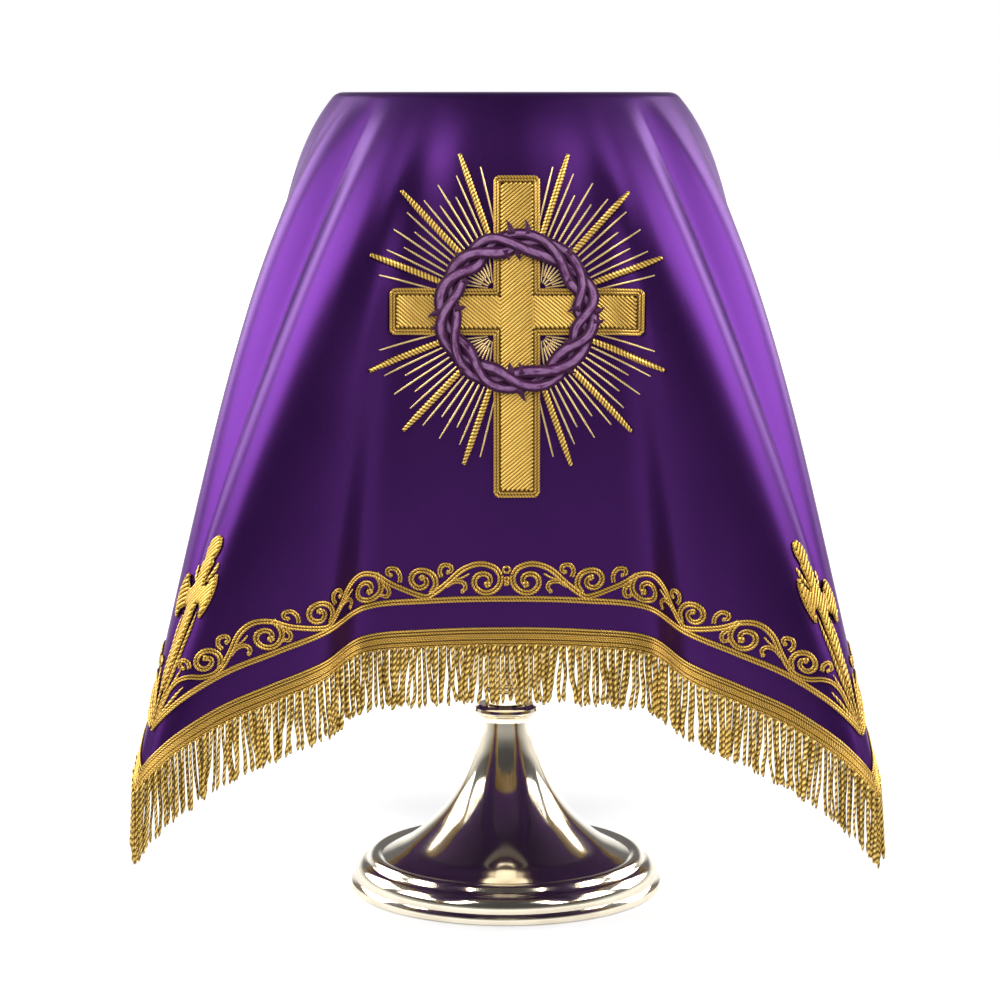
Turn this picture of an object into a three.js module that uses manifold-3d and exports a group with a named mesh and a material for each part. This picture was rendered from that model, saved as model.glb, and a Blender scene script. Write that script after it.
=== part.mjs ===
// A square satin chalice veil with gold braid and fringe, draped over a covered chalice.
// Millimetres, +Z up. The origin is the centre of the foot's underside, and the veil's front faces -Y.
import * as THREE from "three";
import { mergeVertices } from "three/addons/utils/BufferGeometryUtils.js";
import Module from "manifold-3d";

const wasm = await Module();
wasm.setup();

// Driving sizes
const CLEARANCE = 0.3; // between pieces that touch or are sewn on
const VEIL_TOP = 345; // height of the cloth's flat top
const VEIL_THICKNESS = 1.2; // satin and its lining
const RIM_RADIUS = 75; // outside of the cloth where it turns down
const SHOULDER_RADIUS = 6; // the bend of the cloth over the pall's edge
const FIRST_LEAN = THREE.MathUtils.degToRad(36); // outward lean of the cloth just below the bend
const CORNER_TURN = 45; // degrees from a face's middle to its corner
const FACE_TURN = 2 * CORNER_TURN;

const PALL_RADIUS = 70;
const PALL_THICKNESS = 4;
const FOOT_RADIUS = 68;
const BOWL_RADIUS = 46;
const BOWL_WALL = 1.6;

// How one half of a face hangs, from its middle (share 0) to the corner (share 1).
// A rib leaves the bend at rimTurn degrees and meets the hem at hemTurn degrees, at that reach from the
// axis and that height. Fullness is how soon the rib swings out: 0 is a straight rib.
const DRAPE = [
  { share: 0.0, rimTurn: 0, hemTurn: 0, reach: 108, height: 127.9, fullness: 4.2 },
  { share: 0.19, rimTurn: 11, hemTurn: 16.7, reach: 111, height: 126.7, fullness: 3.9 },
  { share: 0.35, rimTurn: 20.5, hemTurn: 29, reach: 120, height: 123.5, fullness: 3.2 },
  { share: 0.49, rimTurn: 27, hemTurn: 30.9, reach: 142, height: 116, fullness: 2.1 },
  { share: 0.63, rimTurn: 32, hemTurn: 35.4, reach: 160.6, height: 108.6, fullness: 1.6 },
  { share: 0.77, rimTurn: 37, hemTurn: 39.5, reach: 178.2, height: 100.2, fullness: 1.15 },
  { share: 0.9, rimTurn: 41.5, hemTurn: 42.8, reach: 195.2, height: 87.6, fullness: 0.6 },
  { share: 1.0, rimTurn: 45, hemTurn: 45, reach: 203, height: 75, fullness: 0.26 },
];

// The four faces hang a little differently: soft ripples across the face, and a hem that tilts.
const FACES = [
  { name: "front", ripple: 0.8, waves: 1.5, tilt: -1.2 },
  { name: "right", ripple: 4.5, waves: 2.5, tilt: 1.2 },
  { name: "back", ripple: 6, waves: 3, tilt: -1.2 },
  { name: "left", ripple: -4, waves: 2.5, tilt: 1.2 },
];

// Embroidery and trimming
const BRAID = { width: 6.2, thickness: 1.2, overhang: 0.8, reach: 0.994, gap: 0.84 };
const FRINGE = { strands: 45, space: 2.8, middleLength: 24.5, cornerLength: 29, narrowing: 0.2, sway: 1.8 };
const BORDER = { distance: 18.5, halfWidth: 1.1, thickness: 1.2, gap: 1.14 };
const VINE = { firstCrest: 9, period: 44, height: 13.5, reach: 124, steps: 44 };
const EMBLEM = { x: 4, z: 259.3, clothGap: 0.96, crossGap: 0.18 };
const CROSS = { armReach: 50.5, top: 53, foot: -73, halfWidth: 9.1, thickness: 1.3 };
const CROWN = { radius: 28.5, halfWidth: 4.6, swing: 0.9, twists: 9, base: 0.9, relief: 1, steps: 54 };
const RAY = { start: 35.5, halfWidth: 1.2, thickness: 0.9, taper: 0.45 };
// Turns from straight up, in degrees, and tip distances of the broad rays on one side of the cross
const BROAD_RAYS = [
  { turn: 18, tip: 64 },
  { turn: 44, tip: 63.5 },
  { turn: 69.5, tip: 60.5 },
  { turn: 110.5, tip: 61 },
  { turn: 136, tip: 65 },
  { turn: 160, tip: 62.5 },
];
const CORNER_CROSS = {
  foot: 36, // distances up the diagonal from the tip of the cloth
  centre: 85,
  top: 105,
  arm: 11.8,
  halfWidth: 3.1,
  flare: 5.8,
  thickness: 1.2,
  gap: 1.4,
};

const COLOURS = { satin: 0x3f1d63, gold: 0xc39a41, thorn: 0x6f3f70, silver: 0xcfc8ba, linen: 0xece7dc };

const satin = new THREE.MeshStandardMaterial({ color: COLOURS.satin, roughness: 0.45, metalness: 0 });
const goldThread = new THREE.MeshStandardMaterial({ color: COLOURS.gold, roughness: 0.5, metalness: 0.4 });
const thornThread = new THREE.MeshStandardMaterial({ color: COLOURS.thorn, roughness: 0.6, metalness: 0 });
const silver = new THREE.MeshStandardMaterial({ color: COLOURS.silver, roughness: 0.12, metalness: 1 });
const linen = new THREE.MeshStandardMaterial({ color: COLOURS.linen, roughness: 0.9, metalness: 0 });

// The drape

// A column of the DRAPE table at a share from 0 to 1, on a smooth curve. The row before the first mirrors
// the second, and the row after the last mirrors the last but one, so that faces meet smoothly.
function drapeColumn(column, share) {
  const turns = column.endsWith("Turn");
  const first = DRAPE[1];
  const last = DRAPE.at(-1);
  const nearLast = DRAPE.at(-2);
  const before = { share: -first.share, value: turns ? -first[column] : first[column] };
  const after = { share: 2 - nearLast.share, value: 2 * last[column] - nearLast[column] };
  if (column === "fullness" || column === "reach") after.value = nearLast[column];
  const knots = [before, ...DRAPE.map((row) => ({ share: row.share, value: row[column] })), after];
  let i = 1;
  while (i < DRAPE.length - 1 && share > knots[i + 1].share) i += 1;
  const steep = (j) => (knots[j].value - knots[j - 1].value) / (knots[j].share - knots[j - 1].share);
  const span = knots[i + 1].share - knots[i].share;
  const t = (share - knots[i].share) / span;
  const leave = ((steep(i) + steep(i + 1)) / 2) * span;
  const arrive = ((steep(i + 1) + steep(i + 2)) / 2) * span;
  return (
    (2 * t ** 3 - 3 * t ** 2 + 1) * knots[i].value +
    (t ** 3 - 2 * t ** 2 + t) * leave +
    (3 * t ** 2 - 2 * t ** 3) * knots[i + 1].value +
    (t ** 3 - t ** 2) * arrive
  );
}

// The rib of a face at a share from -1, its left corner, to 1, its right corner.
function ribOf(face, share) {
  const side = Math.sign(share);
  const along = Math.min(Math.abs(share), 1);
  const { ripple, waves, tilt } = FACES[face];
  return {
    rimTurn: side * drapeColumn("rimTurn", along),
    hemTurn: side * drapeColumn("hemTurn", along),
    reach: drapeColumn("reach", along),
    height: drapeColumn("height", along) + tilt * share ** 3,
    fullness: drapeColumn("fullness", along),
    ripple: ripple * (1 - along ** 2) ** 2 * Math.cos(Math.PI * waves * (share + 0.15)),
  };
}

// A point of the cloth's outer side, where down goes from 0, at the bend, to 1, at the hem.
function skirtPoint(face, share, down) {
  const rib = ribOf(face, share);
  const startRadius = RIM_RADIUS - SHOULDER_RADIUS + SHOULDER_RADIUS * Math.cos(FIRST_LEAN);
  const startHeight = VEIL_TOP - SHOULDER_RADIUS + SHOULDER_RADIUS * Math.sin(FIRST_LEAN);
  const swing = (down * (1 + rib.fullness)) / (1 + rib.fullness * down);
  const radius = startRadius + (rib.reach - startRadius) * swing + rib.ripple * down ** 2;
  const turn = THREE.MathUtils.degToRad(face * FACE_TURN + rib.rimTurn + (rib.hemTurn - rib.rimTurn) * down);
  const height = startHeight + (rib.height - startHeight) * down;
  return new THREE.Vector3(radius * Math.sin(turn), -radius * Math.cos(turn), height);
}

// The direction that points out of the cloth.
function outOfCloth(face, share, down) {
  const step = 0.004;
  const left = Math.max(share - step, -1);
  const right = Math.min(share + step, 1);
  const up = Math.max(down - step, 0);
  const low = Math.min(down + step, 1);
  const across = skirtPoint(face, right, down).sub(skirtPoint(face, left, down));
  const along = skirtPoint(face, share, low).sub(skirtPoint(face, share, up));
  return along.cross(across).normalize();
}

// The cloth is a grid: columns at these shares of each half face, closer together in the folds, and rows
// at these steps down.
const HALF_SHARES = [0, 0.14, 0.25, 0.32, 0.37, 0.42, 0.47, 0.51, 0.57, 0.66, 0.78, 0.9, 1];
const SHARES = [...HALF_SHARES.slice(1).reverse().map((share) => -share), ...HALF_SHARES];
const DOWNS = [0, 0.1, 0.22, 0.36, 0.5, 0.64, 0.77, 0.88, 0.965, 1];
const GRID = FACES.map((_, face) =>
  SHARES.map((share) =>
    DOWNS.map((down) => ({ at: skirtPoint(face, share, down), out: outOfCloth(face, share, down) })),
  ),
);

// The cell of a list of rising lines that holds a value, and how far across it the value lies.
function cellOf(lines, value) {
  let i = 0;
  while (i < lines.length - 2 && value > lines[i + 1]) i += 1;
  return [i, (value - lines[i]) / (lines[i + 1] - lines[i])];
}

// A point of the grid's triangles, lifted off the cloth's outer side.
function liftedPoint(face, share, down, lift) {
  const [i, across] = cellOf(SHARES, share);
  const [j, along] = cellOf(DOWNS, down);
  const lifted = (k, l) => GRID[face][k][l].at.clone().addScaledVector(GRID[face][k][l].out, lift);
  const leftmost = along > across;
  const elbow = leftmost ? lifted(i, j + 1) : lifted(i + 1, j);
  const [far, near] = leftmost ? [along, across] : [across, along];
  const start = lifted(i, j);
  const toElbow = elbow.clone().sub(start);
  return start.addScaledVector(toElbow, far).addScaledVector(lifted(i + 1, j + 1).sub(elbow), near);
}

function ribLength(face, share) {
  let length = 0;
  for (let i = 0; i < 12; i += 1) {
    length += skirtPoint(face, share, i / 12).distanceTo(skirtPoint(face, share, (i + 1) / 12));
  }
  return length;
}

// Arc lengths along each face's hem, measured from its middle, at even shares.
const HEM_STEPS = 120;
const HEM_ARCS = FACES.map((_, face) => {
  const arcs = [0];
  for (let i = 1; i <= 2 * HEM_STEPS; i += 1) {
    const from = skirtPoint(face, (i - 1) / HEM_STEPS - 1, 1);
    const to = skirtPoint(face, i / HEM_STEPS - 1, 1);
    arcs.push(arcs[i - 1] + from.distanceTo(to));
  }
  const middle = arcs[HEM_STEPS];
  return arcs.map((arc) => arc - middle);
});

// The share whose hem point lies at an arc length from the face's middle.
function shareAtArc(face, arc) {
  const arcs = HEM_ARCS[face];
  let i = 1;
  while (i < arcs.length - 1 && arcs[i] < arc) i += 1;
  const part = (arc - arcs[i - 1]) / (arcs[i] - arcs[i - 1]);
  return THREE.MathUtils.clamp((i - 1 + part) / HEM_STEPS - 1, -1, 1);
}

function arcAtShare(face, share) {
  const step = (share + 1) * HEM_STEPS;
  const low = Math.min(Math.floor(step), 2 * HEM_STEPS - 1);
  return HEM_ARCS[face][low] + (HEM_ARCS[face][low + 1] - HEM_ARCS[face][low]) * (step - low);
}

// The share and the step down of a place on the flat cut: along the hem from the face's middle, and up
// from the hem.
function placeOnCut(face, along, up) {
  let foot = along;
  let lean = 0;
  for (let i = 0; i < 6; i += 1) {
    lean = THREE.MathUtils.degToRad(CORNER_TURN * shareAtArc(face, foot));
    foot = along + up * Math.tan(lean);
  }
  const share = shareAtArc(face, foot);
  return [share, 1 - up / Math.cos(lean) / ribLength(face, share)];
}

const sewnPoint = (face, along, up, lift) => liftedPoint(face, ...placeOnCut(face, along, up), lift);

// The same, given from a corner: up the diagonal from the tip, and aside from the diagonal.
function cornerPoint(face, aside, up, lift) {
  const onNext = aside > 0;
  const home = onNext ? (face + 1) % FACES.length : face;
  const half = onNext ? -HEM_ARCS[home][0] : HEM_ARCS[home].at(-1);
  const fromCorner = (up + Math.abs(aside)) * Math.SQRT1_2;
  const along = onNext ? fromCorner - half : half - fromCorner;
  return sewnPoint(home, along, (up - Math.abs(aside)) * Math.SQRT1_2, lift);
}

// A point on the front face at a place seen from the front, x across and z up.
function frontPoint(x, z, lift) {
  let low = -1;
  let high = 1;
  const downAt = (share) => (skirtPoint(0, share, 0).z - z) / (skirtPoint(0, share, 0).z - skirtPoint(0, share, 1).z);
  for (let i = 0; i < 30; i += 1) {
    const middle = (low + high) / 2;
    if (skirtPoint(0, middle, downAt(middle)).x < x) low = middle;
    else high = middle;
  }
  return liftedPoint(0, low, downAt(low), lift);
}

// Mesh helpers

function geometryOf(points, triangles) {
  const geometry = new THREE.BufferGeometry();
  geometry.setAttribute("position", new THREE.Float32BufferAttribute(points.flatMap((p) => p.toArray()), 3));
  geometry.setIndex(triangles);
  return geometry;
}

function solidOf(geometry) {
  const bare = geometry.clone();
  bare.deleteAttribute("normal");
  bare.deleteAttribute("uv");
  const merged = mergeVertices(bare, 1e-4);
  const mesh = new wasm.Mesh({
    numProp: 3,
    vertProperties: new Float32Array(merged.attributes.position.array),
    triVerts: new Uint32Array(merged.index.array),
  });
  return new wasm.Manifold(mesh);
}

function geometryFrom(solid) {
  const { vertProperties, triVerts } = solid.getMesh();
  const geometry = new THREE.BufferGeometry();
  geometry.setAttribute("position", new THREE.BufferAttribute(new Float32Array(vertProperties), 3));
  geometry.setIndex(Array.from(triVerts));
  return geometry;
}

// A closed tube through sections that each hold the same number of points, which run clockwise when
// looked at from the tube's far end.
function loft(sections, closed = false) {
  const sides = sections[0].length;
  const triangles = [];
  const joins = closed ? sections.length : sections.length - 1;
  for (let i = 0; i < joins; i += 1) {
    const here = i * sides;
    const there = ((i + 1) % sections.length) * sides;
    for (let j = 0; j < sides; j += 1) {
      const k = (j + 1) % sides;
      triangles.push(here + j, there + k, here + k, here + j, there + j, there + k);
    }
  }
  if (!closed) {
    const end = (sections.length - 1) * sides;
    for (let j = 1; j < sides - 1; j += 1) {
      triangles.push(0, j, j + 1, end, end + j + 1, end + j);
    }
  }
  return geometryOf(sections.flat(), triangles);
}

// A thick patch over the cells of a grid that are filled. placeAt gives a grid corner at a lift.
function patch(acrossLines, upLines, filled, placeAt, thickness) {
  const points = [];
  const triangles = [];
  const rows = upLines.length;
  const index = (i, j, top) => 2 * (i * rows + j) + top;
  acrossLines.forEach((across) =>
    upLines.forEach((up) => points.push(placeAt(across, up, 0), placeAt(across, up, thickness))),
  );
  const isFilled = (i, j) =>
    i >= 0 &&
    j >= 0 &&
    i < acrossLines.length - 1 &&
    j < rows - 1 &&
    filled((acrossLines[i] + acrossLines[i + 1]) / 2, (upLines[j] + upLines[j + 1]) / 2);
  const quad = (a, b, c, d) => triangles.push(a, b, c, a, c, d);
  for (let i = 0; i < acrossLines.length - 1; i += 1) {
    for (let j = 0; j < rows - 1; j += 1) {
      if (!isFilled(i, j)) continue;
      quad(index(i, j, 1), index(i + 1, j, 1), index(i + 1, j + 1, 1), index(i, j + 1, 1));
      quad(index(i, j, 0), index(i, j + 1, 0), index(i + 1, j + 1, 0), index(i + 1, j, 0));
      if (!isFilled(i, j - 1)) quad(index(i, j, 0), index(i + 1, j, 0), index(i + 1, j, 1), index(i, j, 1));
      if (!isFilled(i, j + 1)) quad(index(i + 1, j + 1, 0), index(i, j + 1, 0), index(i, j + 1, 1), index(i + 1, j + 1, 1));
      if (!isFilled(i - 1, j)) quad(index(i, j + 1, 0), index(i, j, 0), index(i, j, 1), index(i, j + 1, 1));
      if (!isFilled(i + 1, j)) quad(index(i + 1, j, 0), index(i + 1, j + 1, 0), index(i + 1, j + 1, 1), index(i + 1, j, 1));
    }
  }
  return mergeVertices(geometryOf(points, triangles).toNonIndexed(), 1e-4);
}

function named(name, geometry, material) {
  const mesh = new THREE.Mesh(geometry, material);
  mesh.name = name;
  return mesh;
}

// The chalice

const ROUND_SIDES = 20;

// A solid of revolution about Z from [radius, height] points that start and end on the axis.
function turned(profile, sides = ROUND_SIDES) {
  const geometry = new THREE.LatheGeometry(profile.map(([r, z]) => new THREE.Vector2(r, z)), sides);
  geometry.rotateX(Math.PI / 2);
  return geometry;
}

const COLLAR_TOP = 81;
const KNOP_TOP = 131;
const STEM_TOP = 226;
const PALL_TOP = VEIL_TOP - VEIL_THICKNESS - CLEARANCE;
const BOWL_TOP = PALL_TOP - PALL_THICKNESS - CLEARANCE;

function chaliceFoot() {
  const profile = [
    [0, 0],
    [FOOT_RADIUS - 0.8, 0],
    [FOOT_RADIUS, 1],
    [FOOT_RADIUS, 3],
    [FOOT_RADIUS - 1.2, 4],
    [FOOT_RADIUS - 1.6, 5.4],
    [FOOT_RADIUS - 2.6, 9],
    [FOOT_RADIUS - 5.2, 11.6],
    [FOOT_RADIUS - 7, 12],
    [FOOT_RADIUS - 8, 13.4],
    [FOOT_RADIUS - 10.4, 14.6],
    [FOOT_RADIUS - 13.2, 14.4],
    [50, 16.4],
    [43.5, 19.6],
    [36.2, 25.2],
    [29, 32],
    [22.6, 40.4],
    [18, 48.6],
    [14.6, 57.6],
    [12.4, 66.4],
    [11, 74.8],
    [12.2, 76],
    [13.6, 77.4],
    [13.9, 79],
    [13.2, COLLAR_TOP],
    [0, COLLAR_TOP],
  ];
  return turned(profile, 30);
}

function chaliceKnop() {
  const base = COLLAR_TOP + CLEARANCE;
  return turned([
    [0, base],
    [9, base],
    [9, 88],
    [15, 91],
    [22, 98],
    [24, 106],
    [22, 114],
    [15, 121],
    [9, 124],
    [9, KNOP_TOP],
    [0, KNOP_TOP],
  ]);
}

function chaliceStem() {
  const base = KNOP_TOP + CLEARANCE;
  return turned([
    [0, base],
    [12, base],
    [12, 135],
    [8, 139],
    [7.4, 175],
    [8.6, 212],
    [13, 219],
    [13, STEM_TOP],
    [0, STEM_TOP],
  ]);
}

function chaliceBowl() {
  const base = STEM_TOP + CLEARANCE;
  const outside = [
    [0, base],
    [14, base],
    [28, base + 6],
    [38, base + 18],
    [43, base + 36],
    [45, base + 62],
    [BOWL_RADIUS, BOWL_TOP],
  ];
  const inside = [
    [BOWL_RADIUS - BOWL_WALL, BOWL_TOP],
    [45 - BOWL_WALL, base + 62],
    [43 - BOWL_WALL, base + 36],
    [38 - BOWL_WALL, base + 19],
    [27, base + 8.4],
    [13, base + 3],
    [0, base + 2.6],
  ];
  return turned([...outside, ...inside]);
}

function pallDisc() {
  const base = PALL_TOP - PALL_THICKNESS;
  return turned(
    [
      [0, base],
      [PALL_RADIUS - 1.5, base],
      [PALL_RADIUS, base + 1.5],
      [PALL_RADIUS, PALL_TOP - 1.5],
      [PALL_RADIUS - 1.5, PALL_TOP],
      [0, PALL_TOP],
    ],
    40,
  );
}

// The veil: rings of points from the middle of the top to the hem, on both sides of the cloth

const BEND_STEPS = 3;

function veilCloth() {
  const flatRadius = RIM_RADIUS - SHOULDER_RADIUS;
  const columns = FACES.flatMap((_, face) => SHARES.slice(0, -1).map((share) => ({ face, share })));
  const ringAt = (radius, height) =>
    columns.map(({ face, share }) => {
      const turn = THREE.MathUtils.degToRad(face * FACE_TURN + ribOf(face, share).rimTurn);
      return new THREE.Vector3(radius * Math.sin(turn), -radius * Math.cos(turn), height);
    });
  const rings = [ringAt(flatRadius, VEIL_TOP)];
  for (let i = 1; i < BEND_STEPS; i += 1) {
    const tip = (Math.PI / 2) + ((FIRST_LEAN - Math.PI / 2) * i) / BEND_STEPS;
    const radius = flatRadius + SHOULDER_RADIUS * Math.cos(tip);
    rings.push(ringAt(radius, VEIL_TOP + SHOULDER_RADIUS * (Math.sin(tip) - 1)));
  }
  DOWNS.forEach((down) => rings.push(columns.map(({ face, share }) => skirtPoint(face, share, down))));

  const count = columns.length;
  const outer = [new THREE.Vector3(0, 0, VEIL_TOP), ...rings.flat()];
  const shell = [];
  for (let j = 0; j < count; j += 1) {
    const next = (j + 1) % count;
    shell.push(0, 1 + j, 1 + next);
    for (let i = 0; i < rings.length - 1; i += 1) {
      const above = 1 + i * count;
      const below = above + count;
      shell.push(above + j, below + j, below + next, above + j, below + next, above + next);
    }
  }
  const outside = geometryOf(outer, shell);
  outside.computeVertexNormals();
  const normals = outer.map((_, i) => new THREE.Vector3().fromBufferAttribute(outside.attributes.normal, i));
  const inner = outer.map((p, i) => p.clone().addScaledVector(normals[i], -VEIL_THICKNESS));
  const triangles = [...shell];
  for (let i = 0; i < shell.length; i += 3) {
    triangles.push(shell[i] + outer.length, shell[i + 2] + outer.length, shell[i + 1] + outer.length);
  }
  const hem = 1 + (rings.length - 1) * count;
  for (let j = 0; j < count; j += 1) {
    const next = (j + 1) % count;
    const [a, b] = [hem + j, hem + next];
    triangles.push(a, a + outer.length, b + outer.length, a, b + outer.length, b);
  }
  return geometryOf([...outer, ...inner], triangles);
}

// Braid and fringe: one strip along each face's hem, with its strands rooted in it

// Places on the cut along a path, at even steps and wherever it crosses a column of the cloth.
function placesAlong(face, pathAt, steps) {
  const places = [];
  for (let i = 0; i < steps; i += 1) {
    const [from, to] = [i / steps, (i + 1) / steps];
    const [near, far] = [from, to].map((part) => placeOnCut(face, ...pathAt(part))[0]);
    places.push(pathAt(from));
    SHARES.filter((share) => share > near + 0.002 && share < far - 0.002).forEach((share) => {
      places.push(pathAt(from + ((to - from) * (share - near)) / (far - near)));
    });
  }
  return [...places, pathAt(1)];
}

// A cord sewn along a line of [along, up] places on one face's flat cut.
function sewnCord(face, places, { halfWidth, thickness, gap }) {
  const sections = places.map(([along, up], i) => {
    const [fromAlong, fromUp] = places[Math.max(i - 1, 0)];
    const [toAlong, toUp] = places[Math.min(i + 1, places.length - 1)];
    const length = Math.hypot(toAlong - fromAlong, toUp - fromUp);
    const aside = (-(toUp - fromUp) / length) * halfWidth;
    const rise = ((toAlong - fromAlong) / length) * halfWidth;
    return [
      sewnPoint(face, along - aside, up - rise, gap),
      sewnPoint(face, along, up, gap + thickness),
      sewnPoint(face, along + aside, up + rise, gap),
    ];
  });
  return loft(sections);
}

// A small repeatable unevenness from -1 to 1.
function uneven(seed) {
  const wave = Math.sin(seed * 12.9898) * 43758.5453;
  return 2 * (wave - Math.floor(wave)) - 1;
}

// A comb: the braid along the hem, and its strands, which hang straight down from it.
function fringedBraid(face) {
  const { strands, space, middleLength, cornerLength, narrowing, sway } = FRINGE;
  const start = HEM_ARCS[face][0] * BRAID.reach;
  const pitch = (HEM_ARCS[face].at(-1) * BRAID.reach - start) / strands;
  const acrossLines = [];
  for (let i = 0; i < strands; i += 1) {
    acrossLines.push(start + i * pitch + space / 2, start + (i + 1) * pitch - space / 2);
  }
  // The line nearest to each column of the cloth moves onto it, so that the braid bends where the cloth does.
  SHARES.slice(1, -1).forEach((share) => {
    const column = arcAtShare(face, share);
    const distances = acrossLines.map((line) => Math.abs(line - column));
    acrossLines[distances.indexOf(Math.min(...distances))] = column;
  });
  const strandAt = (along) => Math.floor((along - start) / pitch);
  const filled = (along, level) => {
    const across = (along - start) / pitch - strandAt(along);
    return level > 0 || Math.abs(across - 0.5) * pitch < (pitch - space) / 2;
  };
  // Levels: 1 is the braid's upper edge, 0 its lower edge and -1 the tips of the strands.
  const place = (along, level, lift) => {
    const share = shareAtArc(face, along);
    const above = Math.max(level, 0) * BRAID.width;
    const lean = THREE.MathUtils.degToRad(CORNER_TURN * share);
    const down = 1 - above / Math.cos(lean) / ribLength(face, share);
    const point = liftedPoint(face, share, down, BRAID.gap + lift);
    if (level > 0) return point;
    point.z -= BRAID.overhang;
    if (level === 0) return point;
    const number = strandAt(along);
    const seed = face * 100 + number;
    const middle = liftedPoint(face, shareAtArc(face, start + (number + 0.5) * pitch), 1, BRAID.gap + lift);
    const length =
      middleLength + (cornerLength - middleLength) * share ** 2 + 1.5 * uneven(seed + 7) - BRAID.overhang;
    const out = outOfCloth(face, share, 1).setZ(0).normalize();
    const side = new THREE.Vector3(-out.y, out.x, 0);
    point.lerp(new THREE.Vector3(middle.x, middle.y, point.z), narrowing);
    point.addScaledVector(side, sway * uneven(seed));
    point.addScaledVector(out, 0.5 + 0.5 * uneven(seed + 3));
    point.z -= length;
    return point;
  };
  return patch(acrossLines, [-1, 0, 1], filled, place, BRAID.thickness);
}

// The couched border: a line parallel to the hem and a vine that waves above it

function borderVine(face) {
  const { distance, halfWidth } = BORDER;
  const half = HEM_ARCS[face].at(-1) - distance - 2.4;
  const lineAt = (part) => [half * (2 * part - 1), distance];
  const vineAt = (part) => {
    const along = VINE.reach * (2 * part - 1);
    const wave = (1 + Math.cos((2 * Math.PI * (Math.abs(along) - VINE.firstCrest)) / VINE.period)) / 2;
    return [along, distance + halfWidth + VINE.height * wave];
  };
  const line = solidOf(sewnCord(face, placesAlong(face, lineAt, 6), BORDER));
  const vine = solidOf(sewnCord(face, placesAlong(face, vineAt, VINE.steps), BORDER));
  return geometryFrom(line.add(vine));
}

// A cross with flared ends on a stem, up the diagonal from each corner
function cornerCross(face) {
  const { foot, centre, top, arm, halfWidth, flare, thickness } = CORNER_CROSS;
  const acrossLines = [-arm, -arm + 4, -flare, -halfWidth, 0, halfWidth, flare, arm - 4, arm];
  const stemLines = [foot, foot + 8, foot + 16, foot + 24, foot + 32, centre - arm];
  const headLines = [centre - flare, centre - halfWidth, centre + halfWidth, centre + flare];
  const upLines = [...stemLines, ...headLines, (centre + flare + top - 5) / 2, top - 5, top];
  const filled = (across, up) => {
    const aside = Math.abs(across);
    const rise = Math.abs(up - centre);
    const onStem = aside < halfWidth && up < top;
    const onArm = rise < halfWidth;
    const armEnd = aside > arm - 4 && rise < flare;
    const topEnd = up > top - 5 && aside < flare;
    return onStem || onArm || armEnd || topEnd;
  };
  const place = (across, up, lift) => cornerPoint(face, across, up, CORNER_CROSS.gap + lift);
  return patch(acrossLines, upLines, filled, place, thickness);
}

// The emblem on the front face

const emblemPoint = (x, z, lift) => frontPoint(EMBLEM.x + x, EMBLEM.z + z, EMBLEM.clothGap + lift);

function emblemCross() {
  const { armReach, top, foot, halfWidth, thickness } = CROSS;
  const armLines = [halfWidth, 15.5, 22, 29, 36, 43, armReach];
  const acrossLines = [...armLines.map((x) => -x).reverse(), 0, ...armLines];
  const upLines = [foot, -57, -41, -25, -halfWidth, halfWidth, 24, 39, top];
  const filled = (x, z) => Math.abs(x) < halfWidth || Math.abs(z) < halfWidth;
  const place = (x, z, lift) => emblemPoint(x, z, EMBLEM.crossGap + lift);
  return patch(acrossLines, upLines, filled, place, thickness);
}

// The crown of thorns as one relief ring, whose edges and crests follow its twisted vines.
// It lies on the cloth, and climbs over the bars of the cross.
function thornCrown() {
  const { radius, halfWidth, swing, twists, base, relief, steps } = CROWN;
  const sections = [];
  for (let i = 0; i < steps; i += 1) {
    const turn = (2 * Math.PI * i) / steps;
    const twist = Math.sin(twists * turn);
    const fromAxis = Math.min(Math.abs(Math.sin(turn)), Math.abs(Math.cos(turn))) * (radius - halfWidth - swing);
    const climb = 1 - THREE.MathUtils.smoothstep(fromAxis - CROSS.halfWidth, 1.2, 5);
    const floor = climb * (CROSS.thickness + CLEARANCE + 0.25);
    const places = [
      [-halfWidth - swing * twist, floor],
      [-halfWidth * 0.8 - swing * twist, floor + base],
      [halfWidth * 0.4 * twist, floor + base + relief],
      [halfWidth * 0.8 + swing * twist, floor + base],
      [halfWidth + swing * twist, floor],
    ];
    sections.push(
      places.map(([aside, lift]) => {
        const r = radius + aside;
        return emblemPoint(r * Math.sin(turn), r * Math.cos(turn), lift);
      }),
    );
  }
  return loft(sections, true);
}

function broadRay({ turn, tip }, side) {
  const angle = THREE.MathUtils.degToRad(side * turn);
  const sections = [0, 0.33, 0.67, 1].map((part) => {
    const r = RAY.start + (tip - RAY.start) * part;
    const half = RAY.halfWidth * (1 - (part > 0.6 ? RAY.taper : 0));
    const place = (aside, lift) =>
      emblemPoint(r * Math.sin(angle) + aside * Math.cos(angle), r * Math.cos(angle) - aside * Math.sin(angle), lift);
    return [place(-half, 0), place(half, 0), place(half, RAY.thickness), place(-half, RAY.thickness)];
  });
  return loft(sections);
}

// The object

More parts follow.
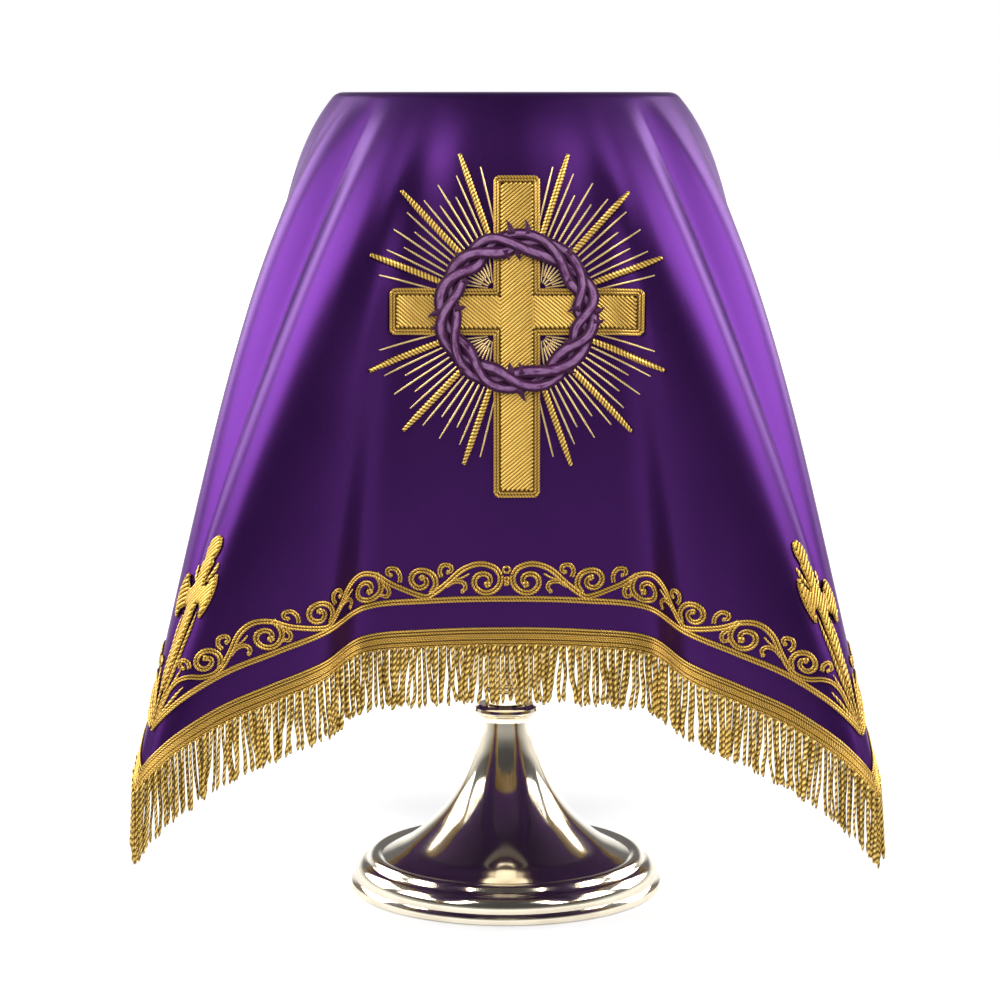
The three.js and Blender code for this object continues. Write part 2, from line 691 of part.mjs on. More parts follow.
const veilOnChalice = new THREE.Group();
veilOnChalice.add(
  named("chalice_foot", chaliceFoot(), silver),
  named("chalice_knop", chaliceKnop(), silver),
  named("chalice_stem", chaliceStem(), silver),
  named("chalice_bowl", chaliceBowl(), silver),
  named("pall_disc", pallDisc(), linen),
  named("veil_cloth", veilCloth(), satin),
);
FACES.forEach(({ name }, face) => {
  veilOnChalice.add(
    named(`fringe_${name}`, fringedBraid(face), goldThread),
    named(`border_${name}`, borderVine(face), goldThread),
    named(`corner_cross_${face + 1}`, cornerCross(face), goldThread),
  );
});
veilOnChalice.add(named("emblem_cross", emblemCross(), goldThread), named("thorn_crown", thornCrown(), thornThread));
BROAD_RAYS.forEach((ray, i) => {
  veilOnChalice.add(named(`ray_right_${i + 1}`, broadRay(ray, 1), goldThread));
  veilOnChalice.add(named(`ray_left_${i + 1}`, broadRay(ray, -1), goldThread));
});

export default veilOnChalice;
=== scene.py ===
"""A satin chalice veil with gold embroidery, braid and bullion fringe, draped over a covered chalice.

Metres, +Z up. The veil's front faces -Y and the chalice stands on Z = 0.
"""

import logging
import math
from dataclasses import dataclass, field
from enum import Enum
from typing import Any, Callable, Sequence

import bpy
import numpy as np
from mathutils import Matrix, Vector


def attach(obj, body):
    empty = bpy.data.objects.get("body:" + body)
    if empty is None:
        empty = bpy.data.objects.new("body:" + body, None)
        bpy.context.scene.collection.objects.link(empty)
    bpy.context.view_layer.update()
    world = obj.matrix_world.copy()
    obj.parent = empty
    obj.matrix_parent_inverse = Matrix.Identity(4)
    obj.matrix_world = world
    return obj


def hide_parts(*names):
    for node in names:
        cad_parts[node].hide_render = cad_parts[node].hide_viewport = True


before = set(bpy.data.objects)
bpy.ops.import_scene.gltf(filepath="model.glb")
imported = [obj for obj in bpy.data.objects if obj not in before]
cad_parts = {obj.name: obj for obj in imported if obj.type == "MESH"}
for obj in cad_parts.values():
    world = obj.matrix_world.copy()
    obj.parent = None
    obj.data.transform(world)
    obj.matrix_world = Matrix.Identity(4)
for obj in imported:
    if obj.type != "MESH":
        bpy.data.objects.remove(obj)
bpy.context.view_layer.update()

log = logging.getLogger("chalice_veil")
Array = np.ndarray
MM = 0.001


# Cloth


@dataclass(frozen=True)
class Rib:
    """How the cloth hangs at one share of a half face, from its middle, 0, to its corner, 1."""

    share: float
    rim_turn: float
    hem_turn: float
    reach: float
    height: float
    fullness: float


@dataclass(frozen=True)
class Face:
    """What is particular to one of the veil's four hanging sides."""

    name: str
    ripple: float
    waves: float
    tilt: float


@dataclass
class Drape:
    """The form of the hanging cloth: turns in degrees, the rest in metres."""

    top: float = 0.345
    rim_radius: float = 0.075
    shoulder_radius: float = 0.006
    first_lean: float = math.radians(36)
    corner_turn: float = 45.0
    ribs: tuple[Rib, ...] = (
        Rib(0.00, 0.0, 0.0, 0.108, 0.1279, 4.2),
        Rib(0.19, 11.0, 16.7, 0.111, 0.1267, 3.9),
        Rib(0.35, 20.5, 29.0, 0.120, 0.1235, 3.2),
        Rib(0.49, 27.0, 30.9, 0.142, 0.1160, 2.1),
        Rib(0.63, 32.0, 35.4, 0.1606, 0.1086, 1.6),
        Rib(0.77, 37.0, 39.5, 0.1782, 0.1002, 1.15),
        Rib(0.90, 41.5, 42.8, 0.1952, 0.0876, 0.62),
        Rib(1.00, 45.0, 45.0, 0.203, 0.0750, 0.40),
    )
    faces: tuple[Face, ...] = (
        Face("front", 0.0008, 1.5, -0.0012),
        Face("right", 0.0045, 2.5, 0.0012),
        Face("back", 0.0060, 3.0, -0.0012),
        Face("left", -0.0040, 2.5, 0.0012),
    )
    pucker: float = 0.00012
    _grid: Array = field(default_factory=lambda: np.linspace(0, 1, 2001), repr=False)

    def __post_init__(self) -> None:
        """Fills the tables of rib values, hem lengths and rib lengths."""
        names = ("rim_turn", "hem_turn", "reach", "height", "fullness")
        self.tables = {name: self._column(name) for name in names}
        self.shares = np.linspace(-1, 1, 401)
        self.arcs = []
        self.lengths = []
        for face in range(len(self.faces)):
            around = 2 * face + self.shares * 0.99999
            hem = self.point(around, np.ones_like(around))
            steps = np.linalg.norm(np.diff(hem, axis=0), axis=1)
            arc = np.concatenate([[0.0], np.cumsum(steps)])
            self.arcs.append(arc - np.interp(0.0, self.shares, arc))
            downs = np.linspace(0, 1, 25)
            line = np.stack([self.point(around, np.full_like(around, down)) for down in downs])
            self.lengths.append(np.linalg.norm(np.diff(line, axis=0), axis=2).sum(axis=0))

    def _column(self, name: str) -> Array:
        """Draws a smooth curve through one column of the ribs.

        Args:
            name: The column.

        Returns:
            Its values at even shares from 0 to 1.
        """
        shares = [rib.share for rib in self.ribs]
        values = [getattr(rib, name) for rib in self.ribs]
        sign = -1 if name.endswith("turn") else 1
        after = values[-2] if name in ("fullness", "reach") else 2 * values[-1] - values[-2]
        x = np.array([-shares[1], *shares, 2 - shares[-2]])
        y = np.array([sign * values[1], *values, after])
        slope = np.diff(y) / np.diff(x)
        i = np.clip(np.searchsorted(x, self._grid, side="left") - 1, 1, len(shares) - 1)
        span = x[i + 1] - x[i]
        t = (self._grid - x[i]) / span
        leave = (slope[i - 1] + slope[i]) / 2 * span
        arrive = (slope[i] + slope[i + 1]) / 2 * span
        return (
            (2 * t**3 - 3 * t**2 + 1) * y[i]
            + (t**3 - 2 * t**2 + t) * leave
            + (3 * t**2 - 2 * t**3) * y[i + 1]
            + (t**3 - t**2) * arrive
        )

    def split(self, around: Array) -> tuple[Array, Array]:
        """Parts a place around the veil into its face and its share of that face.

        Args:
            around: Twice the face's number, plus the share.

        Returns:
            The face numbers, and the shares from -1 to 1.
        """
        turns = np.floor((around + 1) / 2)
        return turns.astype(int) % len(self.faces), around - 2 * turns

    def point(self, around: Array, down: Array) -> Array:
        """Gives points of the cloth's outer side.

        Args:
            around: Places around the veil.
            down: Steps down the cloth, from 0 at the bend to 1 at the hem.

        Returns:
            The points, one to a row.
        """
        face, share = self.split(around)
        along = np.abs(share)
        side = np.sign(share)
        value = {name: np.interp(along, self._grid, table) for name, table in self.tables.items()}
        rim = side * value["rim_turn"]
        hem = side * value["hem_turn"]
        ripple = np.array([f.ripple for f in self.faces])[face]
        waves = np.array([f.waves for f in self.faces])[face]
        tilt = np.array([f.tilt for f in self.faces])[face]
        height = value["height"] + tilt * share**3
        start_radius = self.rim_radius - self.shoulder_radius * (1 - math.cos(self.first_lean))
        start_height = self.top - self.shoulder_radius * (1 - math.sin(self.first_lean))
        swing = down * (1 + value["fullness"]) / (1 + value["fullness"] * down)
        radius = start_radius + (value["reach"] - start_radius) * swing
        radius += ripple * (1 - along**2) ** 2 * np.cos(math.pi * waves * (share + 0.15)) * down**2
        rise = down / 0.07
        lap = around * math.pi / 4
        radius += self.pucker * rise * np.exp(1 - rise) * np.sin(22 * lap + 1.3 * np.sin(6 * lap))
        billow = (1 - share**2) * np.sin(math.pi * down) * np.sin(7.3 * share + 4 * down + face)
        radius += self.pucker * billow
        turn = np.radians(face * 90 + rim + (hem - rim) * down)
        z = start_height + (height - start_height) * down
        return np.stack([radius * np.sin(turn), -radius * np.cos(turn), z], axis=-1)

    def outward(self, around: Array, down: Array) -> Array:
        """Gives the directions that point out of the cloth.

        Args:
            around: Places around the veil.
            down: Steps down the cloth.

        Returns:
            Unit vectors, one to a row.
        """
        step = 0.003
        across = self.point(around + step, down) - self.point(around - step, down)
        low, high = np.minimum(down + step, 1), np.maximum(down - step, 0)
        along = self.point(around, low) - self.point(around, high)
        out = np.cross(along, across)
        return out / np.linalg.norm(out, axis=-1, keepdims=True)

    def lifted(self, place: tuple[Array, Array], lift: Array | float) -> Array:
        """Gives points at a height above the cloth's outer side.

        Args:
            place: Places around the veil, and steps down it.
            lift: The height above the cloth.

        Returns:
            The points, one to a row.
        """
        lift = np.broadcast_to(lift, place[0].shape)[..., None]
        return self.point(*place) + self.outward(*place) * lift

    def on_cut(self, face: int, along: Array, up: Array) -> tuple[Array, Array]:
        """Finds places given as on the flat cut of one face.

        Args:
            face: The face's number.
            along: Distances along the hem from the face's middle.
            up: Distances up from the hem.

        Returns:
            Places around the veil, and steps down it.
        """
        foot = along
        lean = np.zeros_like(along)
        for _ in range(8):
            lean = np.radians(self.corner_turn * np.interp(foot, self.arcs[face], self.shares))
            foot = along + up * np.tan(lean)
        share = np.interp(foot, self.arcs[face], self.shares)
        length = np.interp(share, self.shares, self.lengths[face])
        return 2 * face + share, 1 - up / np.cos(lean) / length

    def at_corner(self, face: int, aside: Array, up: Array) -> tuple[Array, Array]:
        """Finds places given from the corner at the end of one face.

        Args:
            face: The face's number.
            aside: Distances aside from the diagonal, positive on the next face.
            up: Distances up the diagonal from the tip.

        Returns:
            Places around the veil, and steps down it.
        """
        following = (face + 1) % len(self.faces)
        from_tip = (up + np.abs(aside)) / math.sqrt(2)
        rise = (up - np.abs(aside)) / math.sqrt(2)
        here = self.on_cut(face, self.arcs[face][-1] - from_tip, rise)
        there = self.on_cut(following, self.arcs[following][0] + from_tip, rise)
        on_next = aside > 0
        turn = np.where(on_next, there[0] + (8 if following == 0 else 0), here[0])
        return turn, np.where(on_next, there[1], here[1])

    def on_front(self, x: Array, z: Array) -> tuple[Array, Array]:
        """Finds places on the front face given as seen from the front.

        Args:
            x: Distances to the right.
            z: Heights.

        Returns:
            Places around the veil, and steps down it.
        """
        start = self.top - self.shoulder_radius * (1 - math.sin(self.first_lean))
        low = np.full_like(x, -0.97)
        high = np.full_like(x, 0.97)
        for _ in range(24):
            middle = (low + high) / 2
            bottom = np.interp(np.abs(middle), self._grid, self.tables["height"])
            down = (start - z) / (start - bottom)
            beyond = self.point(middle, down)[..., 0] > x
            high = np.where(beyond, middle, high)
            low = np.where(beyond, low, middle)
        return low, down


# Finishes


@dataclass
class Level:
    """A number on a shader socket, written in expressions."""

    tree: bpy.types.NodeTree
    socket: bpy.types.NodeSocket

    def _maths(self, operation: str, *terms: "Level | float") -> "Level":
        """Adds a Math node that works on this level and other terms.

        Args:
            operation: The Math node's operation.
            *terms: Its inputs, levels or numbers.

        Returns:
            The level of its output.
        """
        node = self.tree.nodes.new("ShaderNodeMath")
        node.operation = operation
        for slot, term in zip(node.inputs, terms):
            if isinstance(term, Level):
                self.tree.links.new(term.socket, slot)
            else:
                slot.default_value = term
        return Level(self.tree, node.outputs[0])

    def __add__(self, other: "Level | float") -> "Level":
        """Adds another term."""
        return self._maths("ADD", self, other)

    __radd__ = __add__

    def __mul__(self, other: "Level | float") -> "Level":
        """Multiplies by another term."""
        return self._maths("MULTIPLY", self, other)

    __rmul__ = __mul__

    def __sub__(self, other: "Level | float") -> "Level":
        """Takes another term away."""
        return self._maths("SUBTRACT", self, other)

    def __rsub__(self, other: float) -> "Level":
        """Is taken away from a number."""
        return self._maths("SUBTRACT", other, self)

    def cosine(self) -> "Level":
        """Takes the cosine of this level."""
        return self._maths("COSINE", self)

    def clamped(self) -> "Level":
        """Keeps this level between 0 and 1."""
        level = self._maths("ADD", self, 0.0)
        level.socket.node.use_clamp = True
        return level


class Recipe:
    """The node tree of one finish."""

    def __init__(self, name: str) -> None:
        """Starts a material with a bare shader.

        Args:
            name: The material's name.
        """
        self.material = bpy.data.materials.new(name)
        self.material.use_nodes = True
        self.tree = self.material.node_tree
        self.shader = self.tree.nodes["Principled BSDF"]

    def node(self, kind: str, settings: dict[str, Any] | None = None, **inputs: Any) -> bpy.types.Node:
        """Adds a node.

        Args:
            kind: The node's type, without its ShaderNode prefix.
            settings: Its properties.
            **inputs: Values or links of its sockets, with _ for a space.

        Returns:
            The node.
        """
        made = self.tree.nodes.new("ShaderNode" + kind)
        for name, value in (settings or {}).items():
            setattr(made, name, value)
        for name, value in inputs.items():
            self.feed(made, name.replace("_", " "), value)
        return made

    def feed(self, node: bpy.types.Node, name: str, value: Any) -> None:
        """Sets or links one socket of a node.

        Args:
            node: The node.
            name: The socket's name, or its number for sockets that share a name.
            value: A number, a colour, a Level or an output socket.
        """
        slot = node.inputs[int(name)] if name.isdigit() else node.inputs[name]
        if isinstance(value, Level):
            self.tree.links.new(value.socket, slot)
        elif isinstance(value, bpy.types.NodeSocket):
            self.tree.links.new(value, slot)
        else:
            slot.default_value = value

    def level(self, socket: bpy.types.NodeSocket) -> Level:
        """Wraps a socket for expressions."""
        return Level(self.tree, socket)

    def attribute(self, name: str) -> Level:
        """Reads a number kept on the mesh's points."""
        return self.level(self.node("Attribute", {"attribute_name": name}).outputs["Fac"])

    def noise(self, scale: float, detail: float = 2.0, place: bpy.types.NodeSocket | None = None) -> Level:
        """Reads a soft unevenness in Object coordinates.

        Args:
            scale: Bumps to a metre.
            detail: Octaves.
            place: Another place to read it at.

        Returns:
            A level round 0.5.
        """
        if place is None:
            place = self.node("TexCoord").outputs["Object"]
        return self.level(self.node("TexNoise", Vector=place, Scale=scale, Detail=detail).outputs[0])

    def mix(self, factor: Level | float, first: Any, second: Any) -> bpy.types.NodeSocket:
        """Mixes two colours.

        Args:
            factor: How much of the second.
            first: A colour or a socket.
            second: A colour or a socket.

        Returns:
            The mixed colour's socket.
        """
        made = self.node("Mix", {"data_type": "RGBA", "blend_type": "MIX"})
        for number, value in (("0", factor), ("6", first), ("7", second)):
            if isinstance(value, tuple):
                value = (*value, 1.0)
            self.feed(made, number, value)
        return made.outputs[2]

    def bump(self, height: Level, distance: float, strength: float = 1.0) -> bpy.types.NodeSocket:
        """Turns a level into a bumpy normal.

        Args:
            height: The relief.
            distance: Its height in metres.
            strength: How strongly it shows.

        Returns:
            The normal's socket.
        """
        return self.node("Bump", Height=height, Distance=distance, Strength=strength).outputs[0]

    def shade(self, **inputs: Any) -> bpy.types.Material:
        """Feeds the shader and gives the material.

        Args:
            **inputs: Values or links of the shader's sockets, with _ for a space.

        Returns:
            The material.
        """
        for name, value in inputs.items():
            if isinstance(value, tuple) and len(value) == 3:
                value = (*value, 1.0)
            self.feed(self.shader, name.replace("_", " "), value)
        return self.material


@dataclass(frozen=True)
class SatinFinish:
    """Smooth woven satin with a soft sheen along its folds."""

    name: str = "purple_satin"
    deep: tuple[float, float, float] = (0.028, 0.0056, 0.055)
    bright: tuple[float, float, float] = (0.050, 0.0120, 0.095)
    metallic: float = 0.92
    roughness: float = 0.36
    thread: float = 0.0004

    def material(self) -> bpy.types.Material:
        """Makes the material, whose grain follows the flat cut.

        Returns:
            The material.
        """
        recipe = Recipe(self.name)
        cut = recipe.node("UVMap", {"uv_map": "cut"}).outputs[0]
        threads = 1 / self.thread
        warp = recipe.node("Mapping", Vector=cut, Scale=(threads * 0.22, threads, 1)).outputs[0]
        grain = recipe.noise(1.0, 1.0, warp)
        cloudy = recipe.noise(22.0, 2.0)
        tone = (cloudy * 0.35 + grain * 0.5 + 0.05).clamped()
        colour = recipe.mix(tone, self.deep, self.bright)
        return recipe.shade(
            Base_Color=colour,
            Metallic=self.metallic,
            Roughness=(cloudy * 0.10 + grain * 0.08 + (self.roughness - 0.09)),
            Normal=recipe.bump(grain, 0.00006, 0.5),
            Specular_IOR_Level=0.25,
            Specular_Tint=(0.88, 0.74, 0.98, 1.0),
            Sheen_Weight=0.05,
            Sheen_Roughness=0.40,
            Sheen_Tint=(0.70, 0.50, 0.95),
        )


@dataclass(frozen=True)
class GoldFinish:
    """Metal-wrapped thread, with painted shade in its grooves and painted highlights on its crests."""

    name: str = "gold_thread"
    groove_shade: tuple[float, float, float] = (0.040, 0.014, 0.002)
    body: tuple[float, float, float] = (0.370, 0.205, 0.024)
    # The crest colour is a painted highlight.
    crest: tuple[float, float, float] = (0.780, 0.560, 0.180)
    metallic: float = 0.75
    roughness: float = 0.38

    def material(self) -> bpy.types.Material:
        """Makes the material, which reads the relief and the tone of each cord: low relief is painted shade,
        high relief a painted highlight that the tone strengthens.

        Returns:
            The material.
        """
        recipe = Recipe(self.name)
        relief = recipe.attribute("relief")
        tone = recipe.attribute("tone")
        speck = recipe.noise(2600.0, 1.0)
        low = recipe.mix((relief * 2.2).clamped(), self.groove_shade, self.body)
        lit = (relief - 0.45) * (1.1 * tone + 0.35) + (speck - 0.5) * 0.5
        high = recipe.mix(lit.clamped(), low, self.crest)
        return recipe.shade(
            Base_Color=high,
            Metallic=self.metallic,
            Roughness=(speck * 0.2 + (self.roughness - 0.10)),
            Normal=recipe.bump(speck, 0.00008, 0.5),
        )


@dataclass(frozen=True)
class BullionFinish:
    """The fringe's cords, whose twist is drawn from the strand map as painted shade in its grooves and
    painted highlights on its strands.
    """

    name: str = "bullion_gold"
    groove_shade: tuple[float, float, float] = (0.040, 0.014, 0.002)
    body: tuple[float, float, float] = (0.430, 0.260, 0.036)
    # The crest colour is a painted highlight.
    crest: tuple[float, float, float] = (0.880, 0.660, 0.220)
    metallic: float = 0.65
    roughness: float = 0.40

    def material(self) -> bpy.types.Material:
        """Makes the material, from turns round the cord and lengths along it; the twist's grooves are painted
        shade and its strands painted highlights.

        Returns:
            The material.
        """
        recipe = Recipe(self.name)
        strand = recipe.node("SeparateXYZ", Vector=recipe.node("UVMap", {"uv_map": "strand"}).outputs[0])
        around, along = (recipe.level(strand.outputs[i]) for i in range(2))
        twist = ((around * 2 - along) * (2 * math.pi)).cosine() * 0.5 + 0.5
        fibre = ((around * 9 + along * 3) * (2 * math.pi)).cosine() * 0.5 + 0.5
        tone = recipe.attribute("tone")
        relief = (twist * 0.85 + fibre * 0.15).clamped()
        low = recipe.mix((relief * 1.9).clamped(), self.groove_shade, self.body)
        high = recipe.mix(((relief - 0.42) * (tone * 1.3 + 0.35)).clamped(), low, self.crest)
        return recipe.shade(
            Base_Color=high,
            Metallic=self.metallic,
            Roughness=self.roughness,
            Normal=recipe.bump(relief, 0.0005, 0.8),
        )


@dataclass(frozen=True)
class ThornFinish:
    """Mauve embroidery thread, with painted shade at the sides of each vine and painted highlights on its
    crests.
    """

    name: str = "thorn_thread"
    # The edge colour is painted shade and the crest colour a painted highlight.
    edge: tuple[float, float, float] = (0.020, 0.002, 0.018)
    body: tuple[float, float, float] = (0.058, 0.013, 0.056)
    crest: tuple[float, float, float] = (0.150, 0.074, 0.158)

    def material(self) -> bpy.types.Material:
        """Makes the material, which reads the relief of each vine: low relief is painted shade, high relief a
        painted highlight.

        Returns:
            The material.
        """
        recipe = Recipe(self.name)
        relief = recipe.attribute("relief")
        speck = recipe.noise(1500.0, 2.0)
        low = recipe.mix((relief * 2.2 - 0.2).clamped(), self.edge, self.body)
        high = recipe.mix(((relief - 0.5) * 1.7 + (speck - 0.5) * 0.8).clamped(), low, self.crest)
        return recipe.shade(
            Base_Color=high,
            Roughness=speck * 0.2 + 0.45,
            Normal=recipe.bump(speck, 0.00012, 0.6),
            Specular_IOR_Level=0.12,
        )


@dataclass(frozen=True)
class SilverFinish:
    """Polished silver plate with faint rubbing; its warm tint is a painted reflection."""

    name: str = "polished_silver"
    # Both colours are tinted warm as a painted reflection; the second also stands for faint rubbing.
    colour: tuple[float, float, float] = (0.96, 0.88, 0.71)
    rubbing_and_reflection: tuple[float, float, float] = (0.62, 0.53, 0.40)
    roughness: float = 0.09

    def material(self) -> bpy.types.Material:
        """Makes the material.

        Returns:
            The material.
        """
        recipe = Recipe(self.name)
        cloud = recipe.noise(38.0, 4.0)
        fine = recipe.noise(420.0, 2.0)
        # Darker, browner cloudy patches: faint rubbing, partly painted warm reflection.
        colour = recipe.mix((cloud * 1.6 - 0.62).clamped(), self.colour, self.rubbing_and_reflection)
        return recipe.shade(
            Base_Color=colour,
            Metallic=1.0,
            Roughness=(cloud * 0.08 + fine * 0.05 + (self.roughness - 0.05)),
            Normal=recipe.bump(fine, 0.00001, 0.3),
        )


@dataclass(frozen=True)
class LinenFinish:
    """Plain woven linen."""

    name: str = "stiff_linen"
    colour: tuple[float, float, float] = (0.80, 0.77, 0.70)
    shadow: tuple[float, float, float] = (0.58, 0.54, 0.47)
    threads: float = 1700.0

    def material(self) -> bpy.types.Material:
        """Makes the material, with threads along X and along Y.

        Returns:
            The material.
        """
        recipe = Recipe(self.name)
        place = recipe.node("TexCoord").outputs["Object"]
        split = recipe.node("SeparateXYZ", Vector=place)
        x, y = (recipe.level(split.outputs[i]) for i in range(2))
        across = (x * self.threads).cosine()
        along = (y * self.threads).cosine()
        weave = (across * along * 0.5 + 0.5).clamped()
        colour = recipe.mix(weave * 0.6 + recipe.noise(60.0) * 0.3, self.shadow, self.colour)
        return recipe.shade(Base_Color=colour, Roughness=0.9, Normal=recipe.bump(weave, 0.0001, 0.6))


@dataclass(frozen=True)
class LiningFinish:
    """The duller lining on the veil's inner side."""

    name: str = "veil_lining"
    colour: tuple[float, float, float] = (0.110, 0.042, 0.215)
    shadow: tuple[float, float, float] = (0.060, 0.022, 0.125)

    def material(self) -> bpy.types.Material:
        """Makes the material.

        Returns:
            The material.
        """
        recipe = Recipe(self.name)
        cut = recipe.node("UVMap", {"uv_map": "cut"}).outputs[0]
        grain = recipe.noise(900.0, 1.0, cut)
        colour = recipe.mix(grain, self.shadow, self.colour)
        return recipe.shade(
            Base_Color=colour,
            Roughness=0.7,
            Normal=recipe.bump(grain, 0.00008, 0.5),
            Sheen_Weight=0.2,
        )


class Slot(Enum):
    """The record's material slots."""

    SATIN = "satin"
    GOLD = "gold_thread"
    THORN = "thorn_thread"
    SILVER = "silver"
    LINEN = "pall_linen"


def kept(piece: bpy.types.Object, slot: Slot, replaced: Sequence[str], *finishes: bpy.types.Material) -> None:
    """Dresses a finished piece and ties it to the model.

    Args:
        piece: The piece.
        slot: The record's slot; not used.
        replaced: The solids that it stands for.
        *finishes: Its materials.
    """
    piece.data.materials.clear()
    for finish in finishes:
        piece.data.materials.append(finish)
    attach(piece, "root")
    if replaced:
        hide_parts(*replaced)
    log.info("%s: %d faces", piece.name, len(piece.data.polygons))


def piece_of(name: str, points: Array, faces: list[Sequence[int]]) -> bpy.types.Object:
    """Makes a smooth mesh object at the origin.

    Args:
        name: The piece's name.
        points: Its points.
        faces: Its faces, which point outwards.

    Returns:
        The object.
    """
    mesh = bpy.data.meshes.new(name)
    mesh.from_pydata(points.tolist(), [], faces)
    mesh.polygons.foreach_set("use_smooth", np.ones(len(mesh.polygons), dtype=bool))
    mesh.update()
    piece = bpy.data.objects.new(name, mesh)
    bpy.context.scene.collection.objects.link(piece)
    return piece


def alone(piece: bpy.types.Object) -> None:
    """Selects one piece and nothing else.

    Args:
        piece: The piece.
    """
    bpy.ops.object.select_all(action="DESELECT")
    piece.select_set(True)
    bpy.context.view_layer.objects.active = piece


# Threads and cords


@dataclass(frozen=True)
class Ply:
    """How a cord is twisted: its corners, its strands and how deep and how long their turns are."""

    sides: int = 6
    strands: int = 2
    depth: float = 0.16
    pitch: float = 0.0016
    step: float = 0.0005


ROPE = Ply(7, 2, 0.20, 0.0042, 0.00056)
COUCHED = Ply(5, 2, 0.20, 0.0025, 0.00045)
STITCH = Ply(6, 0, 0.0, 0.0012, 0.0012)
SATIN_STITCH = Ply(6, 2, 0.10, 0.0021, 0.00055)
BROAD_RAY = Ply(8, 2, 0.15, 0.0030, 0.00040)
FINE_RAY = Ply(5, 2, 0.18, 0.0018, 0.00036)
VINE = Ply(16, 0, 0.0, 0.0020, 0.0007)
# The ply of the darkened cords that are painted shade along the crown's vines.
SHADE_CORD = Ply(5, 2, 0.20, 0.0017, 0.00042)

# A cord with shaded sides carries painted shade until this sine round its section, and is bright from a
# little further up.
EDGE_SINE = 0.5
EDGE_RISE = 0.4
EDGE_FLOOR = 0.55
EDGE_GAIN = 0.45
PLAIN_RELIEF = 0.75
TINY = 1e-12


